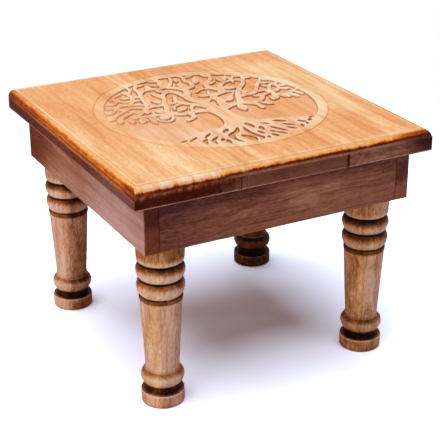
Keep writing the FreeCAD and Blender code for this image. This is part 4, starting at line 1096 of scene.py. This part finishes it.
def leg(corner, material, seed, seam_turn, more, head, rosy):
    """One turned leg, of two halves glued along its length. seam_turn is the direction across its seam,
    more what each half took of stain beyond the bare, head how dark its head is, partly stain and partly
    painted shade, and rosy how pinkish it is in front."""
    low, high = LEG_BOXES[corner]
    axis = (low[:2] + high[:2]) / 2
    outline = leg_outline()
    turn = 2 * math.pi * np.arange(LEG_SEGMENTS) / LEG_SEGMENTS
    radius, level = [a[:, None] * np.ones(LEG_SEGMENTS) for a in outline.T]
    angle = turn[None, :] * np.ones(len(outline))[:, None]
    cosine, sine = np.cos(angle), np.sin(angle)
    out_of_true = 0.06 * ripple(seed * 9 + radius * 0, level, 7, 20 + seed)
    flat_spots = 0.06 * ripple(cosine * 12 + 40, sine * 12 + level * 0.4 + 60, 5, 30 + seed)
    turned = np.minimum(radius - 0.12 + out_of_true + flat_spots, radius)
    dx, dy = turned * cosine, turned * sine
    points = np.stack([axis[0] + dx, axis[1] + dy, level], -1).reshape(-1, 3)
    faces = grid_faces(len(outline), LEG_SEGMENTS, wrap=True)
    base, crown = len(points), len(points) + 1
    points = np.vstack([points, [[*axis, 0.0], [*axis, LEG_TOP]]])
    ring = np.arange(LEG_SEGMENTS)
    upper = ring + (len(outline) - 1) * LEG_SEGMENTS
    faces += [[base, int(b), int(a)] for a, b in zip(ring, np.roll(ring, -1))]
    faces += [[crown, int(a), int(b)] for a, b in zip(upper, np.roll(upper, -1))]

    stain_and_shade = leg_stain_and_shade(radius, level, head)
    stain_and_shade += 0.10 * ripple(cosine * 20 + 80, sine * 20 + level * 0.3 + 90, 9, 40 + seed)
    wear_and_highlight = leg_wear_and_highlights(radius, level, angle, 1 - 1.2 * max(more), seed)
    seam = dx * math.cos(seam_turn) + dy * math.sin(seam_turn)
    stain_and_shade += (more[0] + (more[1] - more[0]) * rise(seam, -6, 6)) * (1 - 0.5 * stain_and_shade)
    stain_and_shade = np.clip(stain_and_shade, 0, 1)
    # A cooler, pinker tint towards the sides as seen from the front: a painted cool sheen; rosy is how much
    # of the tint is in front
    cool = rosy + (0.85 - rosy) * rise(np.abs(np.sin(angle - LEG_FRONT)), 0.45, 0.95)
    looks = (("stain_and_shade", stain_and_shade, 0.4), ("wear_and_highlight", wear_and_highlight, 0.0), ("seam", seam, 0.0), ("cool", cool, 0.0))
    fields = {name: np.concatenate([values.ravel(), [ends, ends]]) for name, values, ends in looks}
    mesh_object("turned_leg_" + corner, points, faces, material, ["leg_" + corner], fields,
                crease=50)


# Build the table

for side, seed, pith in (("left", 1, (-95, 120)), ("middle", 2, (18, 90)), ("right", 3, (118, 190))):
    top_board(side, wood("wood_top_" + side, TOP_STOPS, "y", seed, pith, **TOP_WOOD))

for name, seed, stops, along, kind, looks in (
    ("front", 11, APRON_STOPS, "x", LONG_APRON_WOOD, long_apron_looks),
    ("back", 12, APRON_STOPS, "x", LONG_APRON_WOOD, long_apron_looks),
    ("left", 13, LEFT_APRON_STOPS, "y", SIDE_APRON_WOOD, side_apron_looks),
    ("right", 14, APRON_STOPS, "y", SIDE_APRON_WOOD, side_apron_looks),
):
    eased_board(name, wood("wood_apron_" + name, stops, along, seed, (60, 40), **kind), seed, looks)

# Each leg: how its seam is turned, how much more stain its left and right halves took, how dark its head is,
# partly stain and partly painted shade, and how pinkish it is in front
LEG_LOOKS = {
    "front_left": (-28.0, (-0.03, 0.03), 0.42, 0.15), "front_right": (-30.0, (0.24, 0.12), 0.20, 0.15),
    "back_left": (-24.0, (-0.04, 0.30), 0.30, 0.60), "back_right": (-20.0, (0.62, 0.70), 0.60, 0.15),
}
for seed, (corner, (seam, more, head, rosy)) in enumerate(LEG_LOOKS.items(), 21):
    finish = wood("wood_leg_" + corner, LEG_STOPS, "z", seed, (14, 9), **LEG_WOOD)
    leg(corner, finish, seed, math.radians(seam), more, head, rosy)
    block = wood("wood_block_" + corner, APRON_STOPS, "z", seed + 10, (40, 30), **BLOCK_WOOD)
    refinish("corner_block_" + corner, block)

refinish("block_screws", metal("screw_steel", (168, 160, 150), 0.38))
refinish("top_screws", metal("long_screw_steel", (168, 160, 150), 0.38))
refinish("leg_bolts", metal("bolt_steel", (176, 176, 178), 0.34))
refinish("leg_inserts", metal("insert_metal", (196, 178, 136), 0.36))


# Floor, light and camera, in metres and watts

# The floor: how far it reaches, from where to where it fades into white, and its colour as the camera sees it
# and in the light that it throws back
FLOOR_REACH = 6.0
FLOOR_FADE = (0.35, 0.75)
FLOOR_SEEN = (1.88, 2.08, 2.62, 1)
FLOOR_THROWN = (0.86, 0.85, 0.87, 1)

# Surroundings
WHITE = (1, 1, 1, 1)
WORLD_LIT = (0.93, 0.92, 1.0, 1)
WORLD_STRENGTH = 0.04

# Each lamp: its place, what it points at, its size, power and colour
LAMPS = {
    "above": ((-0.33, 0.03, 2.47), (0, 0, 0.2), (3.2, 2.9), 80, (1.0, 0.99, 0.97)),
    "left": ((-1.7, -0.35, 0.25), (0, 0, 0.22), (1.6, 0.4), 8.5, (1.0, 0.98, 0.96)),
    "front": ((0.5, -1.8, 0.25), (0, 0, 0.22), (1.6, 0.4), 4.4, (0.96, 0.98, 1.0)),
}

# The photograph's camera
VIEW_AZIMUTH = math.radians(-28.2561)
VIEW_ELEVATION = math.radians(23.913)
VIEW_ROLL = math.radians(-0.0909)
VIEW_TARGET = Vector((0.01641, 0.01284, 0.1050))
VIEW_DISTANCE = 1.2902
LENS = 105.21
SENSOR = 36


def stage_floor():
    """A wide plain floor that looks white, and keeps the table's shadow."""
    mesh = bpy.data.meshes.new("floor")
    corners = [(x * FLOOR_REACH, y * FLOOR_REACH, 0) for x, y in ((-1, -1), (1, -1), (1, 1), (-1, 1))]
    mesh.from_pydata(corners, [], [(0, 1, 2, 3)])
    s = Shader(bpy.data.materials.new("floor_white"))
    far = s.spread(s.length(s.node("TexCoord").outputs["Object"]), *FLOOR_FADE)
    seen = s.node("LightPath").outputs["Is Camera Ray"]
    thrown = s.node("BsdfDiffuse", Color=FLOOR_THROWN).outputs[0]
    lit = s.node("BsdfDiffuse", Color=FLOOR_SEEN).outputs[0]
    white = s.node("Emission", Color=WHITE, Strength=1.0).outputs[0]
    stain_and_top_shade = s.node("MixShader", None, far, lit, white).outputs[0]
    total = s.node("MixShader", None, seen, thrown, stain_and_top_shade).outputs[0]
    s.node("OutputMaterial", Surface=total)
    mesh.materials.append(s.owner)
    floor = bpy.data.objects.new("floor", mesh)
    bpy.context.scene.collection.objects.link(floor)


def area_light(name, place, target, size, power, colour):
    data = bpy.data.lights.new(name, "AREA")
    data.shape = "RECTANGLE"
    data.size, data.size_y = size
    data.energy = power
    data.color = colour
    lamp = bpy.data.objects.new(name, data)
    bpy.context.scene.collection.objects.link(lamp)
    lamp.location = place
    lamp.rotation_euler = (Vector(target) - Vector(place)).to_track_quat("-Z", "Y").to_euler()


def studio():
    """White surroundings, a large soft light above and weak low ones at the left and in front."""
    s = Shader(bpy.data.worlds.new("studio"))
    bpy.context.scene.world = s.owner
    rays = s.node("LightPath").outputs
    seen = s.math("MAXIMUM", rays["Is Camera Ray"], rays["Is Glossy Ray"])
    seen = s.math("MAXIMUM", seen, rays["Is Transmission Ray"])
    fill = s.node("Background", Color=WORLD_LIT, Strength=WORLD_STRENGTH).outputs[0]
    white = s.node("Background", Color=WHITE, Strength=1.0).outputs[0]
    s.node("OutputWorld", Surface=s.node("MixShader", None, seen, fill, white).outputs[0])
    for name, lamp in LAMPS.items():
        area_light(name, *lamp)


def camera():
    """The photograph's view, as a turn about the vertical, an angle above the floor and a slight roll."""
    level = math.cos(VIEW_ELEVATION)
    back = Vector((math.sin(VIEW_AZIMUTH) * level, -math.cos(VIEW_AZIMUTH) * level, math.sin(VIEW_ELEVATION)))
    right = Vector((math.cos(VIEW_AZIMUTH), math.sin(VIEW_AZIMUTH), 0))
    upward = back.cross(right)
    tilted_right = right * math.cos(VIEW_ROLL) + upward * math.sin(VIEW_ROLL)
    tilted_up = upward * math.cos(VIEW_ROLL) - right * math.sin(VIEW_ROLL)
    data = bpy.data.cameras.new("camera")
    data.lens = LENS
    data.sensor_width = SENSOR
    eye = bpy.data.objects.new("camera", data)
    bpy.context.scene.collection.objects.link(eye)
    turn = Matrix((tilted_right, tilted_up, back)).transposed().to_4x4()
    eye.matrix_world = Matrix.Translation(VIEW_TARGET + back * VIEW_DISTANCE) @ turn
    bpy.context.scene.camera = eye


stage_floor()
studio()
camera()
bpy.context.scene.view_settings.view_transform = "Standard"
